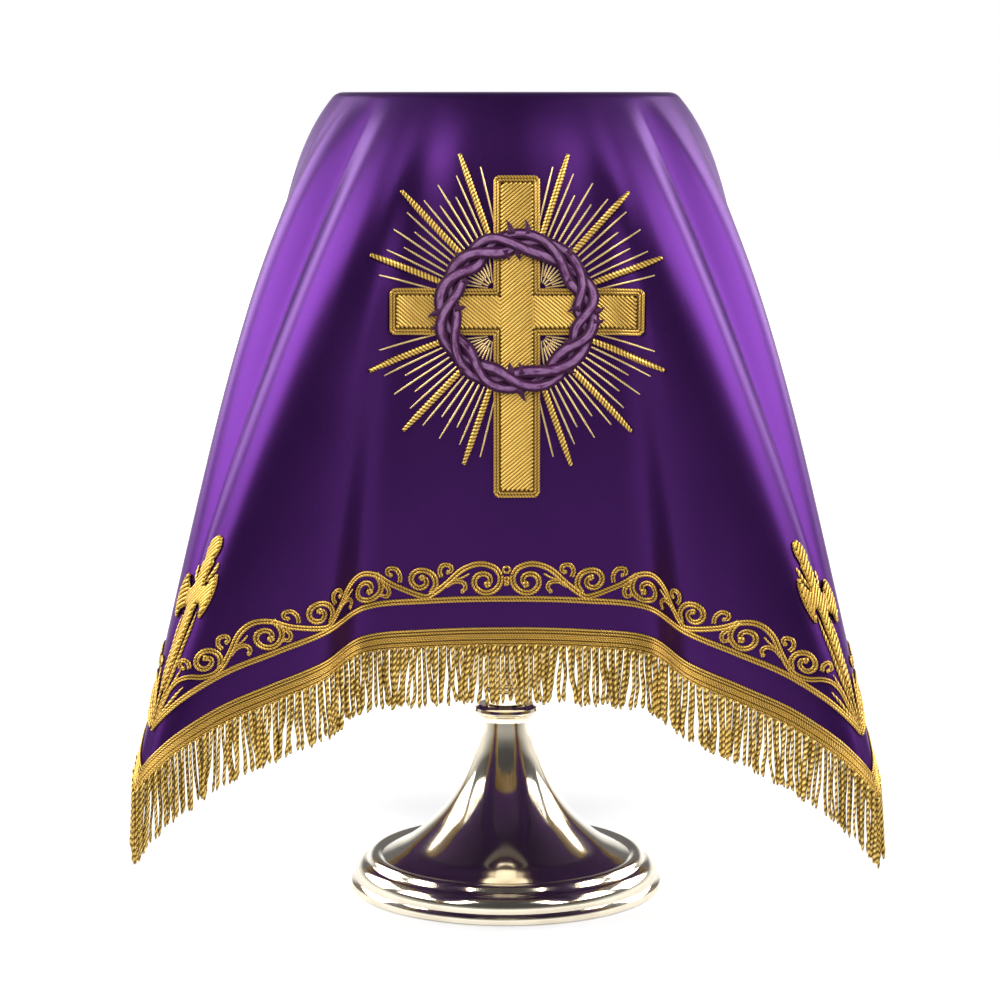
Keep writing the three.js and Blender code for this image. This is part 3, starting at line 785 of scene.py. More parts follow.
class Threads:
    """The cords and stitches of one piece, gathered into one mesh."""

    def __init__(self, name: str) -> None:
        """Starts with no threads.

        Args:
            name: The piece's name.
        """
        self.name = name
        self.points: list[Array] = []
        self.relief: list[Array] = []
        self.tone: list[Array] = []
        self.faces: list[list[int]] = []
        self.count = 0

    def cord(
        self,
        centre: Array,
        out: Array,
        radius: Array | float,
        ply: Ply,
        flat: float = 1.0,
        tone: float = 0.5,
        closed: bool = False,
        shaded_sides: bool = False,
    ) -> None:
        """Adds a cord along a line of points.

        Args:
            centre: The points, already spaced as finely as the ply needs.
            out: The direction out of the cloth at each.
            radius: The cord's radius, all along or at each point.
            ply: How it is twisted.
            flat: Its thickness out of the cloth, as a share of its width.
            tone: How bright its painted highlight is, from 0 to 1.
            closed: Whether its end joins its start.
            shaded_sides: Whether its relief falls towards its two sides, as painted shade.
        """
        count = len(centre)
        if closed:
            wrapped = np.concatenate([centre[-1:], centre, centre[:1]])
            tangent = wrapped[2:] - wrapped[:-2]
        else:
            tangent = np.gradient(centre, axis=0)
        tangent = tangent / np.maximum(np.linalg.norm(tangent, axis=1, keepdims=True), TINY)
        side = np.cross(out, tangent)
        side = side / np.maximum(np.linalg.norm(side, axis=1, keepdims=True), TINY)
        up = np.cross(tangent, side)
        steps = np.linalg.norm(np.diff(centre, axis=0), axis=1)
        run = np.concatenate([[0.0], np.cumsum(steps)])
        angle = 2 * math.pi * np.arange(ply.sides) / ply.sides
        # The relief marks where the finishes paint shade (the twist's grooves) and highlights (its strands).
        if ply.strands:
            turns = max(1, round(run[-1] / ply.pitch)) if closed else run[-1] / ply.pitch
            phase = ply.strands * (angle[None, :] - 2 * math.pi * turns * (run / max(run[-1], 1e-9))[:, None])
            wave = np.cos(phase)
            relief = 0.5 + 0.5 * wave
        else:
            wave = np.zeros((count, ply.sides))
            relief = np.full((count, ply.sides), PLAIN_RELIEF)
        if shaded_sides:
            shoulder = np.clip((np.sin(angle) - EDGE_SINE) / EDGE_RISE, 0, 1)
            twisted = shoulder * (EDGE_FLOOR + EDGE_GAIN * relief)
            relief = twisted if ply.strands else np.tile(shoulder, (count, 1))
        size = np.broadcast_to(radius, (count,))[:, None] * (1 + ply.depth * wave)
        ring = (
            centre[:, None, :]
            + side[:, None, :] * (np.cos(angle)[None, :] * size)[..., None]
            + up[:, None, :] * (np.sin(angle)[None, :] * size * flat)[..., None]
        )
        base = self.count
        index = base + np.arange(count * ply.sides).reshape(count, ply.sides)
        after = np.roll(index, -1, axis=1)
        nxt = np.roll(index, -1, axis=0) if closed else index[1:]
        nxt_after = np.roll(after, -1, axis=0) if closed else after[1:]
        end = count if closed else count - 1
        quads = np.stack([index[:end], after[:end], nxt_after[:end], nxt[:end]], axis=-1).reshape(-1, 4)
        self.faces.extend(quads.tolist())
        if not closed:
            self.faces.append(index[0][::-1].tolist())
            self.faces.append(index[-1].tolist())
        self.points.append(ring.reshape(-1, 3))
        self.relief.append(relief.reshape(-1))
        self.tone.append(np.full(count * ply.sides, tone))
        self.count += count * ply.sides

    def darken(self, share: float) -> None:
        """Lowers the relief of the last cord, so that it reads as shade.

        Args:
            share: How much of its relief stays.
        """
        self.relief[-1] = self.relief[-1] * share

    def sheet(self, points: Array, relief: Array, tone: float) -> None:
        """Adds a relief whose rows of points run round its section.

        Args:
            points: Sections, each a closed row of points that runs clockwise seen from the far end.
            relief: A level for each point.
            tone: How bright it is.
        """
        count, width = points.shape[:2]
        index = self.count + np.arange(count * width).reshape(count, width)
        after = np.roll(index, -1, axis=1)
        quads = np.stack([index[:-1], index[1:], after[1:], after[:-1]], axis=-1)
        self.faces.extend(quads.reshape(-1, 4).tolist())
        self.faces.append(index[0].tolist())
        self.faces.append(index[-1][::-1].tolist())
        self.points.append(points.reshape(-1, 3))
        self.relief.append(relief.reshape(-1))
        self.tone.append(np.full(count * width, tone))
        self.count += count * width

    def made(self) -> bpy.types.Object:
        """Makes the piece.

        Returns:
            The object, with relief and tone kept on its points.
        """
        piece = piece_of(self.name, np.concatenate(self.points), self.faces)
        for name, values in (("relief", self.relief), ("tone", self.tone)):
            layer = piece.data.attributes.new(name, "FLOAT", "POINT")
            layer.data.foreach_set("value", np.concatenate(values).astype(np.float32))
        return piece


def smooth_line(points: Sequence[tuple[float, float]], step: float) -> Array:
    """Draws an even curve through points.

    Args:
        points: The points, in metres.
        step: The spacing of the result.

    Returns:
        Points of the curve, in pairs.
    """
    p = np.array(points, dtype=float)
    p = np.concatenate([2 * p[:1] - p[1:2], p, 2 * p[-1:] - p[-2:-1]])
    t = np.linspace(0, 1, 24, endpoint=False)[:, None]
    parts = []
    for a, b, c, d in zip(p, p[1:], p[2:], p[3:]):
        curve = 2 * b + (c - a) * t + (2 * a - 5 * b + 4 * c - d) * t**2 + (3 * b - a - 3 * c + d) * t**3
        parts.append(0.5 * curve)
    line = np.concatenate([*parts, p[-2:-1]])
    return even(line, step)


def even(line: Array, step: float) -> Array:
    """Spaces a line's points evenly.

    Args:
        line: The points.
        step: Their new spacing, or near it.

    Returns:
        The points, evenly spaced.
    """
    run = np.concatenate([[0.0], np.cumsum(np.linalg.norm(np.diff(line, axis=0), axis=1))])
    count = max(3, int(run[-1] / step) + 1)
    at = np.linspace(0, run[-1], count)
    return np.stack([np.interp(at, run, line[:, i]) for i in range(line.shape[1])], axis=1)


def beside(line: Array, offset: float) -> Array:
    """Moves a flat line sideways.

    Args:
        line: Points in pairs.
        offset: How far to the left.

    Returns:
        The moved points.
    """
    tangent = np.gradient(line, axis=0)
    tangent = tangent / np.maximum(np.linalg.norm(tangent, axis=1, keepdims=True), TINY)
    return line + offset * np.stack([-tangent[:, 1], tangent[:, 0]], axis=1)


Placing = Callable[[Array, Array], tuple[Array, Array]]


@dataclass
class Needle:
    """Sews cords and stitches of flat drawings to the cloth."""

    drape: Drape
    threads: Threads
    placing: Placing
    sink: float = 0.85
    taper_share: float = 0.25
    pair_gap: float = 1.12
    shade_width: float = 0.8
    shade_lift: float = 0.35
    shade: float = 0.08
    stitch_width: float = 0.54

    def sew(
        self,
        line: Array,
        radius: float,
        ply: Ply,
        lift: float | None = None,
        flat: float = 1.0,
        tone: float = 0.5,
        taper: tuple[float, float] = (1.0, 1.0),
        closed: bool = False,
    ) -> None:
        """Sews a cord along a drawn line.

        Args:
            line: The line, in pairs, in metres.
            radius: The cord's radius.
            ply: How it is twisted.
            lift: The height of its middle above the cloth; it lies on the cloth where this is left out.
            flat: Its thickness as a share of its width.
            tone: How bright it is.
            taper: The shares of the radius at its start and end.
            closed: Whether its end joins its start.
        """
        line = even(line, ply.step)
        if closed:
            line = line[:-1]
        place = self.placing(line[:, 0], line[:, 1])
        if lift is None:
            lift = radius * flat * self.sink
        centre = self.drape.lifted(place, lift)
        out = self.drape.outward(*place)
        share = np.linspace(0, 1, len(line))
        ends = np.minimum(1, (1 - taper[0]) * share / self.taper_share + taper[0])
        ends = ends * np.minimum(1, (1 - taper[1]) * (1 - share) / self.taper_share + taper[1])
        self.threads.cord(centre, out, radius * ends, ply, flat, tone, closed)

    def sew_pair(self, line: Array, radius: float, ply: Ply, tone: float = 0.5, taper: float = 1.0) -> None:
        """Sews two cords side by side along a drawn line, over a low darkened cord that is painted shade in
        their gap.

        Args:
            line: The line, in pairs, in metres.
            radius: The radius of each cord.
            ply: How they are twisted.
            tone: How bright they are.
            taper: The share of the radius at the end.
        """
        line = even(line, ply.step)
        for offset in (-radius * self.pair_gap, radius * self.pair_gap):
            self.sew(beside(line, offset), radius, ply, tone=tone, taper=(1.0, taper))
        # A low darkened cord between the two: painted shade in their gap.
        self.sew(line, radius * self.shade_width, STITCH, lift=radius * self.shade_lift)
        self.threads.darken(self.shade)

    def fill(
        self,
        outline: Sequence[tuple[float, float]],
        lean: float,
        spacing: float,
        lift: float,
        pad: float,
        tone: float = 0.5,
    ) -> None:
        """Fills a drawn shape with slanted stitches over a pad, each with painted shade along its sides.

        Args:
            outline: The shape's corners, in metres.
            lean: The stitches' angle from the level, in degrees.
            spacing: The distance between stitches.
            lift: The height of a stitch's middle at its ends.
            pad: How much higher it is half-way.
            tone: How bright the stitches' painted highlights are.
        """
        corner = np.array(outline)
        angle = math.radians(lean)
        along = np.array([math.cos(angle), math.sin(angle)])
        across = np.array([-along[1], along[0]])
        depth = corner @ across
        row = 0
        for level in np.arange(depth.min() + spacing / 2, depth.max(), spacing):
            row += 1
            cuts = []
            for a, b in zip(corner, np.roll(corner, -1, axis=0)):
                da, db = a @ across - level, b @ across - level
                if (da < 0) != (db < 0):
                    cuts.append(float((a + (b - a) * da / (da - db)) @ along))
            cuts.sort()
            for start, end in zip(cuts[::2], cuts[1::2]):
                if end - start < spacing:
                    continue
                share = np.linspace(0, 1, max(4, int((end - start) / SATIN_STITCH.step)))
                line = (start + (end - start) * share)[:, None] * along + level * across
                rise = lift + pad * np.clip(4 * share * (1 - share), 0, 1) ** 0.35
                wobble = 0.18 * math.sin(row * 2.4) + 0.12 * math.sin(row * 5.1)
                place = self.placing(line[:, 0], line[:, 1])
                centre = self.drape.lifted(place, rise)
                out = self.drape.outward(*place)
                radius = spacing * self.stitch_width
                # Each stitch has painted shade along its sides; its painted highlight varies row by row.
                self.threads.cord(centre, out, radius, SATIN_STITCH, 1.0, tone + wobble, shaded_sides=True)


def spiral(
    centre: tuple[float, float],
    start: float,
    turns: float,
    radii: tuple[float, float],
    clockwise: bool = False,
) -> Array:
    """Draws a spiral that winds in to its middle.

    Args:
        centre: Its middle.
        start: The angle of its outer end, in degrees.
        turns: How many turns it makes.
        radii: Its outer and inner radius.
        clockwise: Which way it winds.

    Returns:
        Points in pairs.
    """
    share = np.linspace(0, 1, 90)
    angle = math.radians(start) + (-1 if clockwise else 1) * 2 * math.pi * turns * share
    radius = radii[0] + (radii[1] - radii[0]) * share**0.82
    return np.stack([centre[0] + radius * np.cos(angle), centre[1] + radius * np.sin(angle)], axis=1)


# The veil


@dataclass
class Cloth:
    """The square of satin, hung over the stiffened disc."""

    drape: Drape
    flat: float = 0.53
    thickness: float = 0.0012
    columns: int = 360
    rows: int = 76
    top_rows: int = 12
    bend_rows: int = 6

    def build(self) -> bpy.types.Object:
        """Lays the cloth out in rings from its middle to its hem.

        Returns:
            The veil.
        """
        drape = self.drape
        around = np.linspace(-1, 7, self.columns, endpoint=False)
        start = drape.point(around, np.zeros_like(around))
        out = start[:, :2] / np.linalg.norm(start[:, :2], axis=1, keepdims=True)
        inner = drape.rim_radius - drape.shoulder_radius
        level = drape.top - drape.shoulder_radius
        rings, runs = [], []
        for radius in np.linspace(0, inner, self.top_rows + 1)[1:]:
            rings.append(np.column_stack([out * radius, np.full(self.columns, drape.top)]))
            runs.append(np.full(self.columns, radius))
        for angle in np.linspace(math.pi / 2, drape.first_lean, self.bend_rows + 1)[1:-1]:
            radius = inner + drape.shoulder_radius * math.cos(angle)
            height = level + drape.shoulder_radius * math.sin(angle)
            rings.append(np.column_stack([out * radius, np.full(self.columns, height)]))
            runs.append(runs[self.top_rows - 1] + drape.shoulder_radius * (math.pi / 2 - angle))
        for step in np.linspace(0, 1, self.rows):
            ring = drape.point(around, np.full(self.columns, (step + 1.5 * step**2) / 2.5))
            runs.append(runs[-1] + np.linalg.norm(ring - rings[-1], axis=1))
            rings.append(ring)
        points = np.concatenate([[[0.0, 0.0, drape.top]], *rings])
        cut = np.concatenate([[[0.0, 0.0]], *self._cut(around, runs)])
        index = 1 + np.arange(len(rings) * self.columns).reshape(len(rings), self.columns)
        after = np.roll(index, -1, axis=1)
        faces = [[0, a, b] for a, b in zip(index[0].tolist(), after[0].tolist())]
        faces += np.stack([index[:-1], index[1:], after[1:], after[:-1]], axis=-1).reshape(-1, 4).tolist()
        piece = piece_of("veil_satin", points, faces)
        layer = piece.data.uv_layers.new(name="cut")
        corners = np.empty(len(piece.data.loops), dtype=int)
        piece.data.loops.foreach_get("vertex_index", corners)
        layer.data.foreach_set("uv", cut[corners].astype(np.float32).ravel())
        return piece

    def _cut(self, around: Array, runs: list[Array]) -> list[Array]:
        """Gives each ring's place on the flat square.

        Args:
            around: The columns' places round the veil.
            runs: Each ring's distance from the middle, along the cloth.

        Returns:
            The rings' flat points.
        """
        face, share = self.drape.split(around)
        along = np.empty_like(around)
        for number, arc in enumerate(self.drape.arcs):
            here = face == number
            along[here] = np.interp(share[here], self.drape.shares, arc) / arc[-1] * self.flat / 2
        turn = face * math.pi / 2
        x = along * np.cos(turn) + self.flat / 2 * np.sin(turn)
        y = along * np.sin(turn) - self.flat / 2 * np.cos(turn)
        return [np.column_stack([x, y]) * (run / runs[-1])[:, None] for run in runs]

    def dress(self, piece: bpy.types.Object) -> None:
        """Gives the cloth its face, its lining and its thickness.

        Args:
            piece: The veil.
        """
        kept(piece, Slot.SATIN, ["veil_cloth"], SatinFinish().material(), LiningFinish().material())
        alone(piece)
        solid = piece.modifiers.new("thickness", "SOLIDIFY")
        solid.thickness = self.thickness
        solid.offset = -1
        solid.material_offset = 1
        bpy.ops.object.modifier_apply(modifier=solid.name)


@dataclass
class Edging:
    """The braid along one side of the hem, with its bullion fringe."""

    drape: Drape
    face: int
    width: float = 0.0066
    # Each cord: its height up the braid and radius in millimetres, its twist's hand, and its tone; cords of
    # no tone are darkened as painted shade in the gaps.
    cords: tuple[tuple[float, float, int, float], ...] = (
        (6.35, 0.46, 1, 1.50),
        (5.72, 0.24, -1, 0.0),
        (5.08, 0.46, -1, 1.05),
        (4.45, 0.24, 1, 0.0),
        (3.80, 0.42, 1, 0.95),
        (3.08, 0.42, -1, 0.95),
        (2.36, 0.42, 1, 0.95),
        (1.74, 0.24, -1, 0.0),
        (1.18, 0.36, -1, 0.95),
        (0.56, 0.36, 1, 0.95),
        (0.08, 0.22, -1, 0.0),
        (-0.45, 0.42, 1, 0.80),
    )
    spacing: float = 0.00164
    cord_radius: float = 0.00084
    rings: int = 12
    sides: int = 5
    middle_length: float = 0.0240
    corner_length: float = 0.0285

    @property
    def half(self) -> float:
        """Half the hem's length."""
        return float(self.drape.arcs[self.face][-1])

    def braid(self) -> bpy.types.Object:
        """Plaits the braid from cords laid side by side on a darkened tape, which shows as painted shade
        between them.

        Returns:
            The braid.
        """
        name = self.drape.faces[self.face].name
        threads = Threads(f"braid_{name}")
        needle = Needle(self.drape, threads, lambda along, up: self.drape.on_cut(self.face, along, up))
        reach = self.half * 0.999
        columns = np.linspace(-reach, reach, 300)
        section = []
        for up, lift in ((-0.0006, 0.00005), (self.width, 0.00005), (self.width, 0.0004), (-0.0006, 0.0004)):
            place = needle.placing(columns * (1 - max(up, 0) / reach), np.full_like(columns, up))
            section.append(self.drape.lifted(place, lift))
        # The tape is darkened throughout: painted shade in the gaps between cords.
        threads.sheet(np.stack(section, axis=1), np.full((len(columns), 4), 0.1), 0.3)
        for up, radius, hand, tone in self.cords:
            ply = Ply(5, 2, 0.24, hand * 0.0023, 0.00055)
            limit = reach - max(up, 0) * MM
            line = np.array([[-limit, up * MM], [limit, up * MM]])
            needle.sew(line, radius * MM, ply, lift=0.00045, tone=tone)
            # Thin cords of no tone are darkened: painted shade in the gaps.
            if not tone:
                threads.darken(0.15)
        return threads.made()

    def fringe(self) -> bpy.types.Object:
        """Hangs the twisted cords from the hem.

        Returns:
            The fringe.
        """
        name = self.drape.faces[self.face].name
        count = int(2 * self.half / self.spacing)
        rng = np.random.default_rng(40 + self.face)
        foot = np.linspace(-self.half * 0.998, self.half * 0.998, count)
        place = self.drape.on_cut(self.face, foot, np.full(count, -0.0001))
        root = self.drape.lifted(place, 0.00035 + 0.0005 * (-1.0) ** np.arange(count))
        along = np.gradient(root, axis=0)
        along /= np.linalg.norm(along, axis=1, keepdims=True)
        out = self.drape.outward(*place)
        out[:, 2] = 0
        out /= np.linalg.norm(out, axis=1, keepdims=True)
        share = np.abs(foot) / self.half
        length = self.middle_length + (self.corner_length - self.middle_length) * share**4
        length = length + rng.uniform(-0.0011, 0.0011, count)
        thick = self.cord_radius * rng.uniform(0.86, 1.10, count)
        tufts = 0.0013 * np.sin(foot / 0.0021 + 2.2 * np.sin(foot / 0.017))
        gather = tufts + 0.0012 * np.sin(foot / 0.0047 + 1)
        lean = rng.normal(0, 0.0005, count) + gather
        sway = rng.normal(0, 0.0006, count)
        bend = rng.uniform(-1, 1, (count, 2))
        t = np.linspace(0, 1, self.rings)
        drop = -t[None, :] * length[:, None]
        curl = 0.0008 * bend[:, :1] * np.sin(math.pi * t * 2.6 + 3 * bend[:, 1:]) * t
        aside = lean[:, None] * t**1.4 + curl
        forward = sway[:, None] * t + 0.0012 * share[:, None] * t
        moved = along[:, None, :] * aside[..., None]
        centre = root[:, None, :] + moved + out[:, None, :] * forward[..., None]
        centre[..., 2] += drop
        angle = 2 * math.pi * np.arange(self.sides) / self.sides
        turns = length / 0.0025
        spin = rng.uniform(0, 1, count)
        phase = 2 * math.pi * (t[None, :] * turns[:, None] + spin[:, None])
        squash = 0.13 * np.cos(2 * angle[None, None, :] - phase[..., None])
        swell = np.where(t > 0.97, 0.55, np.where(t > 0.84, 1.22, np.where(t > 0.76, 0.92, 1.0)))
        radius = thick[:, None, None] * swell[None, :, None] * (1 + squash)
        ring = (
            centre[:, :, None, :]
            + along[:, None, None, :] * (np.cos(angle) * radius)[..., None]
            + out[:, None, None, :] * (np.sin(angle) * radius)[..., None]
        )
        return self._mesh(f"fringe_cords_{name}", ring, turns, spin, rng.uniform(0.25, 0.85, count))

    def _mesh(self, name: str, ring: Array, turns: Array, spin: Array, tone: Array) -> bpy.types.Object:
        """Joins the cords' rings into one mesh with its strand map.

        Args:
            name: The piece's name.
            ring: The rings' points, by cord, ring and side.
            turns: Each cord's number of twists.
            spin: Where each cord's twist starts.
            tone: How bright each cord is.

        Returns:
            The fringe.
        """
        count, rings, sides = ring.shape[:3]
        index = np.arange(count * rings * sides).reshape(count, rings, sides)
        after = np.roll(index, -1, axis=2)
        quads = np.stack([index[:, :-1], index[:, 1:], after[:, 1:], after[:, :-1]], axis=-1).reshape(-1, 4)
        caps = [row[::-1].tolist() for row in index[:, -1]] + [row.tolist() for row in index[:, 0]]
        piece = piece_of(name, ring.reshape(-1, 3), quads.tolist() + caps)
        u = np.arange(sides) / sides
        v = (np.linspace(0, 1, rings)[None, :] * turns[:, None] + spin[:, None]).reshape(count, rings, 1)
        low = np.broadcast_to(v[:, :-1], (count, rings - 1, sides))
        high = np.broadcast_to(v[:, 1:], (count, rings - 1, sides))
        left = np.broadcast_to(u, low.shape)
        right = left + 1 / sides
        uv = np.stack([left, low, left, high, right, high, right, low], axis=-1).reshape(-1, 2)
        uv = np.concatenate([uv, np.tile([0.0, 0.0], (2 * count * sides, 1))])
        layer = piece.data.uv_layers.new(name="strand")
        layer.data.foreach_set("uv", uv.astype(np.float32).ravel())
        shade = piece.data.attributes.new("tone", "FLOAT", "POINT")
        shade.data.foreach_set("value", np.repeat(tone, rings * sides).astype(np.float32))
        return piece


# Drawings are in millimetres, from the middle of a side's border line: outwards along it, and up from it.
CREST_UNIT = {
    "branch": ((-6.4, 12.9), (-7.6, 10.6)),
    "ball": (-1.7, 7.3),
    "radii": (6.1, 1.7),
    "start": 158.0,
    "turns": 1.2,
}


@dataclass
class Border:
    """The line and scrolling vine embroidered along one side."""

    drape: Drape
    face: int
    distance: float = 18.5
    crest: float = 9.7
    period: float = 44.0
    height: float = 14.4
    valley_height: float = 1.9
    tail: tuple[tuple[float, float], ...] = (
        (4.5, 3.3),
        (8.6, 6.6),
        (12.6, 8.4),
        (17.0, 8.0),
        (21.5, 5.6),
        (26.5, 2.2),
    )
    strand: float = 0.00056

    def _flip(self, line: Array, side: int) -> Array:
        """Moves a drawing to its place above the hem, mirrored for the left half.

        Args:
            line: The drawing, in millimetres.
            side: 1 for the right half, -1 for the left.

        Returns:
            The line, in metres.
        """
        return np.array(line) * [side * MM, MM] + [0, self.distance * MM]

    def build(self) -> bpy.types.Object:
        """Embroiders the border.

        Returns:
            The border.
        """
        threads = Threads(f"border_scroll_{self.drape.faces[self.face].name}")
        self.needle = Needle(self.drape, threads, lambda along, up: self.drape.on_cut(self.face, along, up))
        half = float(self.drape.arcs[self.face][-1]) - self.distance * MM - 0.0008
        line = np.array([[-half, self.distance * MM], [half, self.distance * MM]])
        self.needle.sew_pair(even(line, 0.002), 0.00058, COUCHED, 0.7)
        for side in (-1, 1):
            self._vine(side)
            for number in range(3):
                self._crest(side, self.crest + number * self.period)
                self._valley(side, self.crest + (number + 0.48) * self.period)
        self._middle()
        return threads.made()

    def _cord(self, side: int, line: Any, ball: float = 0.0, thin: float = 1.0, tone: float = 0.6) -> None:
        """Sews a double cord along a drawing, with a knot at its end.

        Args:
            side: Which half.
            line: The drawing's points, in millimetres.
            ball: The knot's radius, in millimetres.
            thin: Its width, as a share of the vine's.
            tone: How bright it is.
        """
        points = self._flip(line, side)
        if len(points) < 20:
            points = smooth_line(points, 0.0006)
        self.needle.sew_pair(points, self.strand * thin, COUCHED, tone, 0.55)
        if ball:
            knot = spiral(tuple(points[-1]), 0, 1.0, (ball * MM * 0.55, ball * MM * 0.5))
            self.needle.sew(knot, ball * MM * 0.5, COUCHED, tone=tone)

    def _vine(self, side: int) -> None:
        """Sews the long vine of one half.

        Args:
            side: Which half.
        """
        points = []
        for number in range(3):
            crest = self.crest + number * self.period
            valley = crest + 0.48 * self.period
            if number:
                points.append((crest - 11.5, 7.4))
                points.append((crest - 5.6, 12.6))
            points.append((crest, self.height))
            points.append((crest + 6.2, 12.2))
            points.append((crest + 12.5, 6.6))
            points.append((valley - 3.4, 2.8))
            points.append((valley + 0.4, self.valley_height))
        end = points[-1][0]
        points += [(end + x, y) for x, y in self.tail]
        start = [(2.2, 9.6), (4.6, 12.9)]
        line = smooth_line([(x * MM, y * MM) for x, y in start + points], 0.0006) / MM
        self._cord(side, line)
        head = spiral((8.1, 7.3), 160, 1.2, (6.2, 1.7))
        self._cord(side, head, 1.5)

    def _crest(self, side: int, crest: float) -> None:
        """Sews the spiral under one crest.

        Args:
            side: Which half.
            crest: The crest's distance from the middle, in millimetres.
        """
        if crest > self.crest + 1:
            ball = np.array(CREST_UNIT["ball"]) + [crest, 0]
            wound = spiral(tuple(ball), CREST_UNIT["start"], CREST_UNIT["turns"], CREST_UNIT["radii"])
            branch = [(crest + x, y) for x, y in CREST_UNIT["branch"]]
            self._cord(side, np.concatenate([branch[:1], wound]), 1.5)

    def _valley(self, side: int, valley: float) -> None:
        """Sews the spiral over one valley, and the curls beside the vine.

        Args:
            side: Which half.
            valley: The valley's distance from the middle, in millimetres.
        """
        wound = spiral((valley + 0.6, 8.3), 205, 1.25, (5.7, 1.5), clockwise=True)
        self._cord(side, np.concatenate([[(valley - 2.6, 2.9)], wound]), 1.4)
        curls = [
            ((-7.0, 9.4), (-6.5, 12.0), (-8.0, 14.3), (-10.4, 13.9), (-10.9, 11.9), (-9.6, 11.3)),
            ((-8.3, 5.6), (-11.4, 7.3), (-14.6, 7.0), (-15.6, 4.8), (-14.4, 3.3)),
        ]
        if valley < 100:
            curls += [
                ((8.6, 8.0), (8.0, 10.8), (9.3, 13.7), (11.8, 13.9), (12.5, 12.1), (11.4, 11.3)),
                ((15.0, 10.2), (14.0, 7.6), (12.9, 4.9), (14.2, 2.7), (15.9, 3.6)),
            ]
        else:
            curls += [((7.2, 9.6), (6.4, 12.4), (7.6, 15.2), (9.6, 14.2), (9.0, 11.6))]
        for curl in curls:
            self._cord(side, [(valley + x, y) for x, y in curl], 1.0, 0.80)
        tendril = [(valley + x, y) for x, y in ((-11.2, 7.9), (-13.6, 8.6), (-15.2, 9.2), (-17.2, 10.4))]
        self.needle.sew(smooth_line(self._flip(tendril, side), 0.0005), 0.00042, COUCHED, tone=0.9)

    def _middle(self) -> None:
        """Sews the small knots where the two halves meet."""
        for centre, radius in (((0.0, 11.9), 1.25), ((0.0, 8.0), 0.8), ((0.0, 6.2), 0.6)):
            ring = spiral(centre, 90, 1.0, (radius, radius))
            self.needle.sew(self._flip(ring, 1), 0.0005, COUCHED, tone=0.6, closed=True)


@dataclass
class CornerCross:
    """The cross with curved arms embroidered up one corner, and the leaves at its foot."""

    drape: Drape
    face: int
    head: tuple[tuple[float, float], ...] = (
        (0.0, 106.0),
        (1.5, 105.2),
        (2.7, 102.8),
        (3.0, 100.2),
        (2.3, 97.6),
        (2.0, 96.2),
        (2.9, 95.0),
        (2.5, 92.6),
        (2.2, 88.0),
        (3.4, 84.4),
        (5.4, 85.0),
        (7.0, 87.4),
        (7.8, 90.4),
        (9.2, 87.4),
        (10.0, 83.0),
        (9.9, 78.4),
        (9.0, 74.4),
        (7.6, 71.6),
        (6.8, 75.6),
        (4.8, 78.2),
        (2.8, 78.0),
        (2.2, 75.0),
        (2.0, 66.0),
        (1.5, 54.0),
        (0.7, 42.0),
    )
    leaf_start: float = 28.0
    foot_leaves: tuple[tuple[tuple[float, float], float, float], ...] = (
        ((3.2, 58.0), 2.2, 0.7),
        ((7.2, 50.0), 4.6, 0.5),
        ((10.6, 42.6), 7.2, 0.7),
    )

    def build(self) -> bpy.types.Object:
        """Embroiders the corner.

        Returns:
            The corner's cross and leaves.
        """
        threads = Threads(f"corner_cross_gold_{self.face + 1}")
        needle = Needle(self.drape, threads, self._place)
        right = np.array(self.head) * MM
        outline = np.concatenate([right, right[::-1] * [-1, 1]])
        outline[:, 0] += np.where(outline[:, 0] == 0, 0.00005, 0)
        inner = outline * [0.95, 1]
        needle.fill([tuple(p) for p in inner], 52.0, 0.00140, 0.0009, 0.0003, 0.35)
        loop = even(np.concatenate([outline, outline[:1]]), 0.0006)
        needle.sew(loop, 0.00048, COUCHED, lift=0.0008, tone=0.45, closed=True)
        self._leaves(needle)
        return threads.made()

    def _place(self, aside: Array, up: Array) -> tuple[Array, Array]:
        """Finds a place on the cloth, slimmer and leaning further up the corner.

        Args:
            aside: Distances aside from the cross's own middle.
            up: Distances up from the corner's tip.

        Returns:
            Places around the veil, and steps down it.
        """
        sense = 1 if self.face % 2 else -1
        slim = np.interp(up, (0.035, 0.06), (1.0, 0.64))
        lean = np.interp(up, (0.030, 0.070, 0.106), (0.0, 0.0026, 0.0048))
        return self.drape.at_corner(self.face, aside * slim + sense * lean, up)

    def _leaves(self, needle: Needle) -> None:
        """Sews the buds beside the head and the leaves at the foot.

        Args:
            needle: What sews them.
        """
        for side in (-1, 1):
            bud = [(2.9, 86.4), (4.6, 89.2), (5.6, 92.2), (6.0, 95.0)]
            self._leaf(needle, side, bud, 0.0007, 0.9)
            slim = [(1.5, 40.0), (3.0, 50.0), (4.0, 60.0), (4.7, 68.0), (4.8, 74.0)]
            self._leaf(needle, side, slim, 0.0006, 0.8)
            for tip, bow, bright in self.foot_leaves:
                start, climb = self.leaf_start, tip[1] - self.leaf_start
                leaf = [(0.4, start), (bow * 0.55, start + climb * 0.35), (bow, start + climb * 0.7), tip]
                self._leaf(needle, side, leaf, 0.00058, bright)

    def _leaf(self, needle: Needle, side: int, line: list, radius: float, tone: float) -> None:
        """Sews one slim leaf.

        Args:
            needle: What sews it.
            side: 1 right of the middle, -1 left.
            line: Its middle line, in millimetres.
            radius: Its half width.
            tone: How bright it is.
        """
        points = smooth_line([(side * x * MM, y * MM) for x, y in line], 0.0006)
        needle.sew(points, radius, ROPE, flat=0.8, tone=tone, taper=(0.4, 0.35))


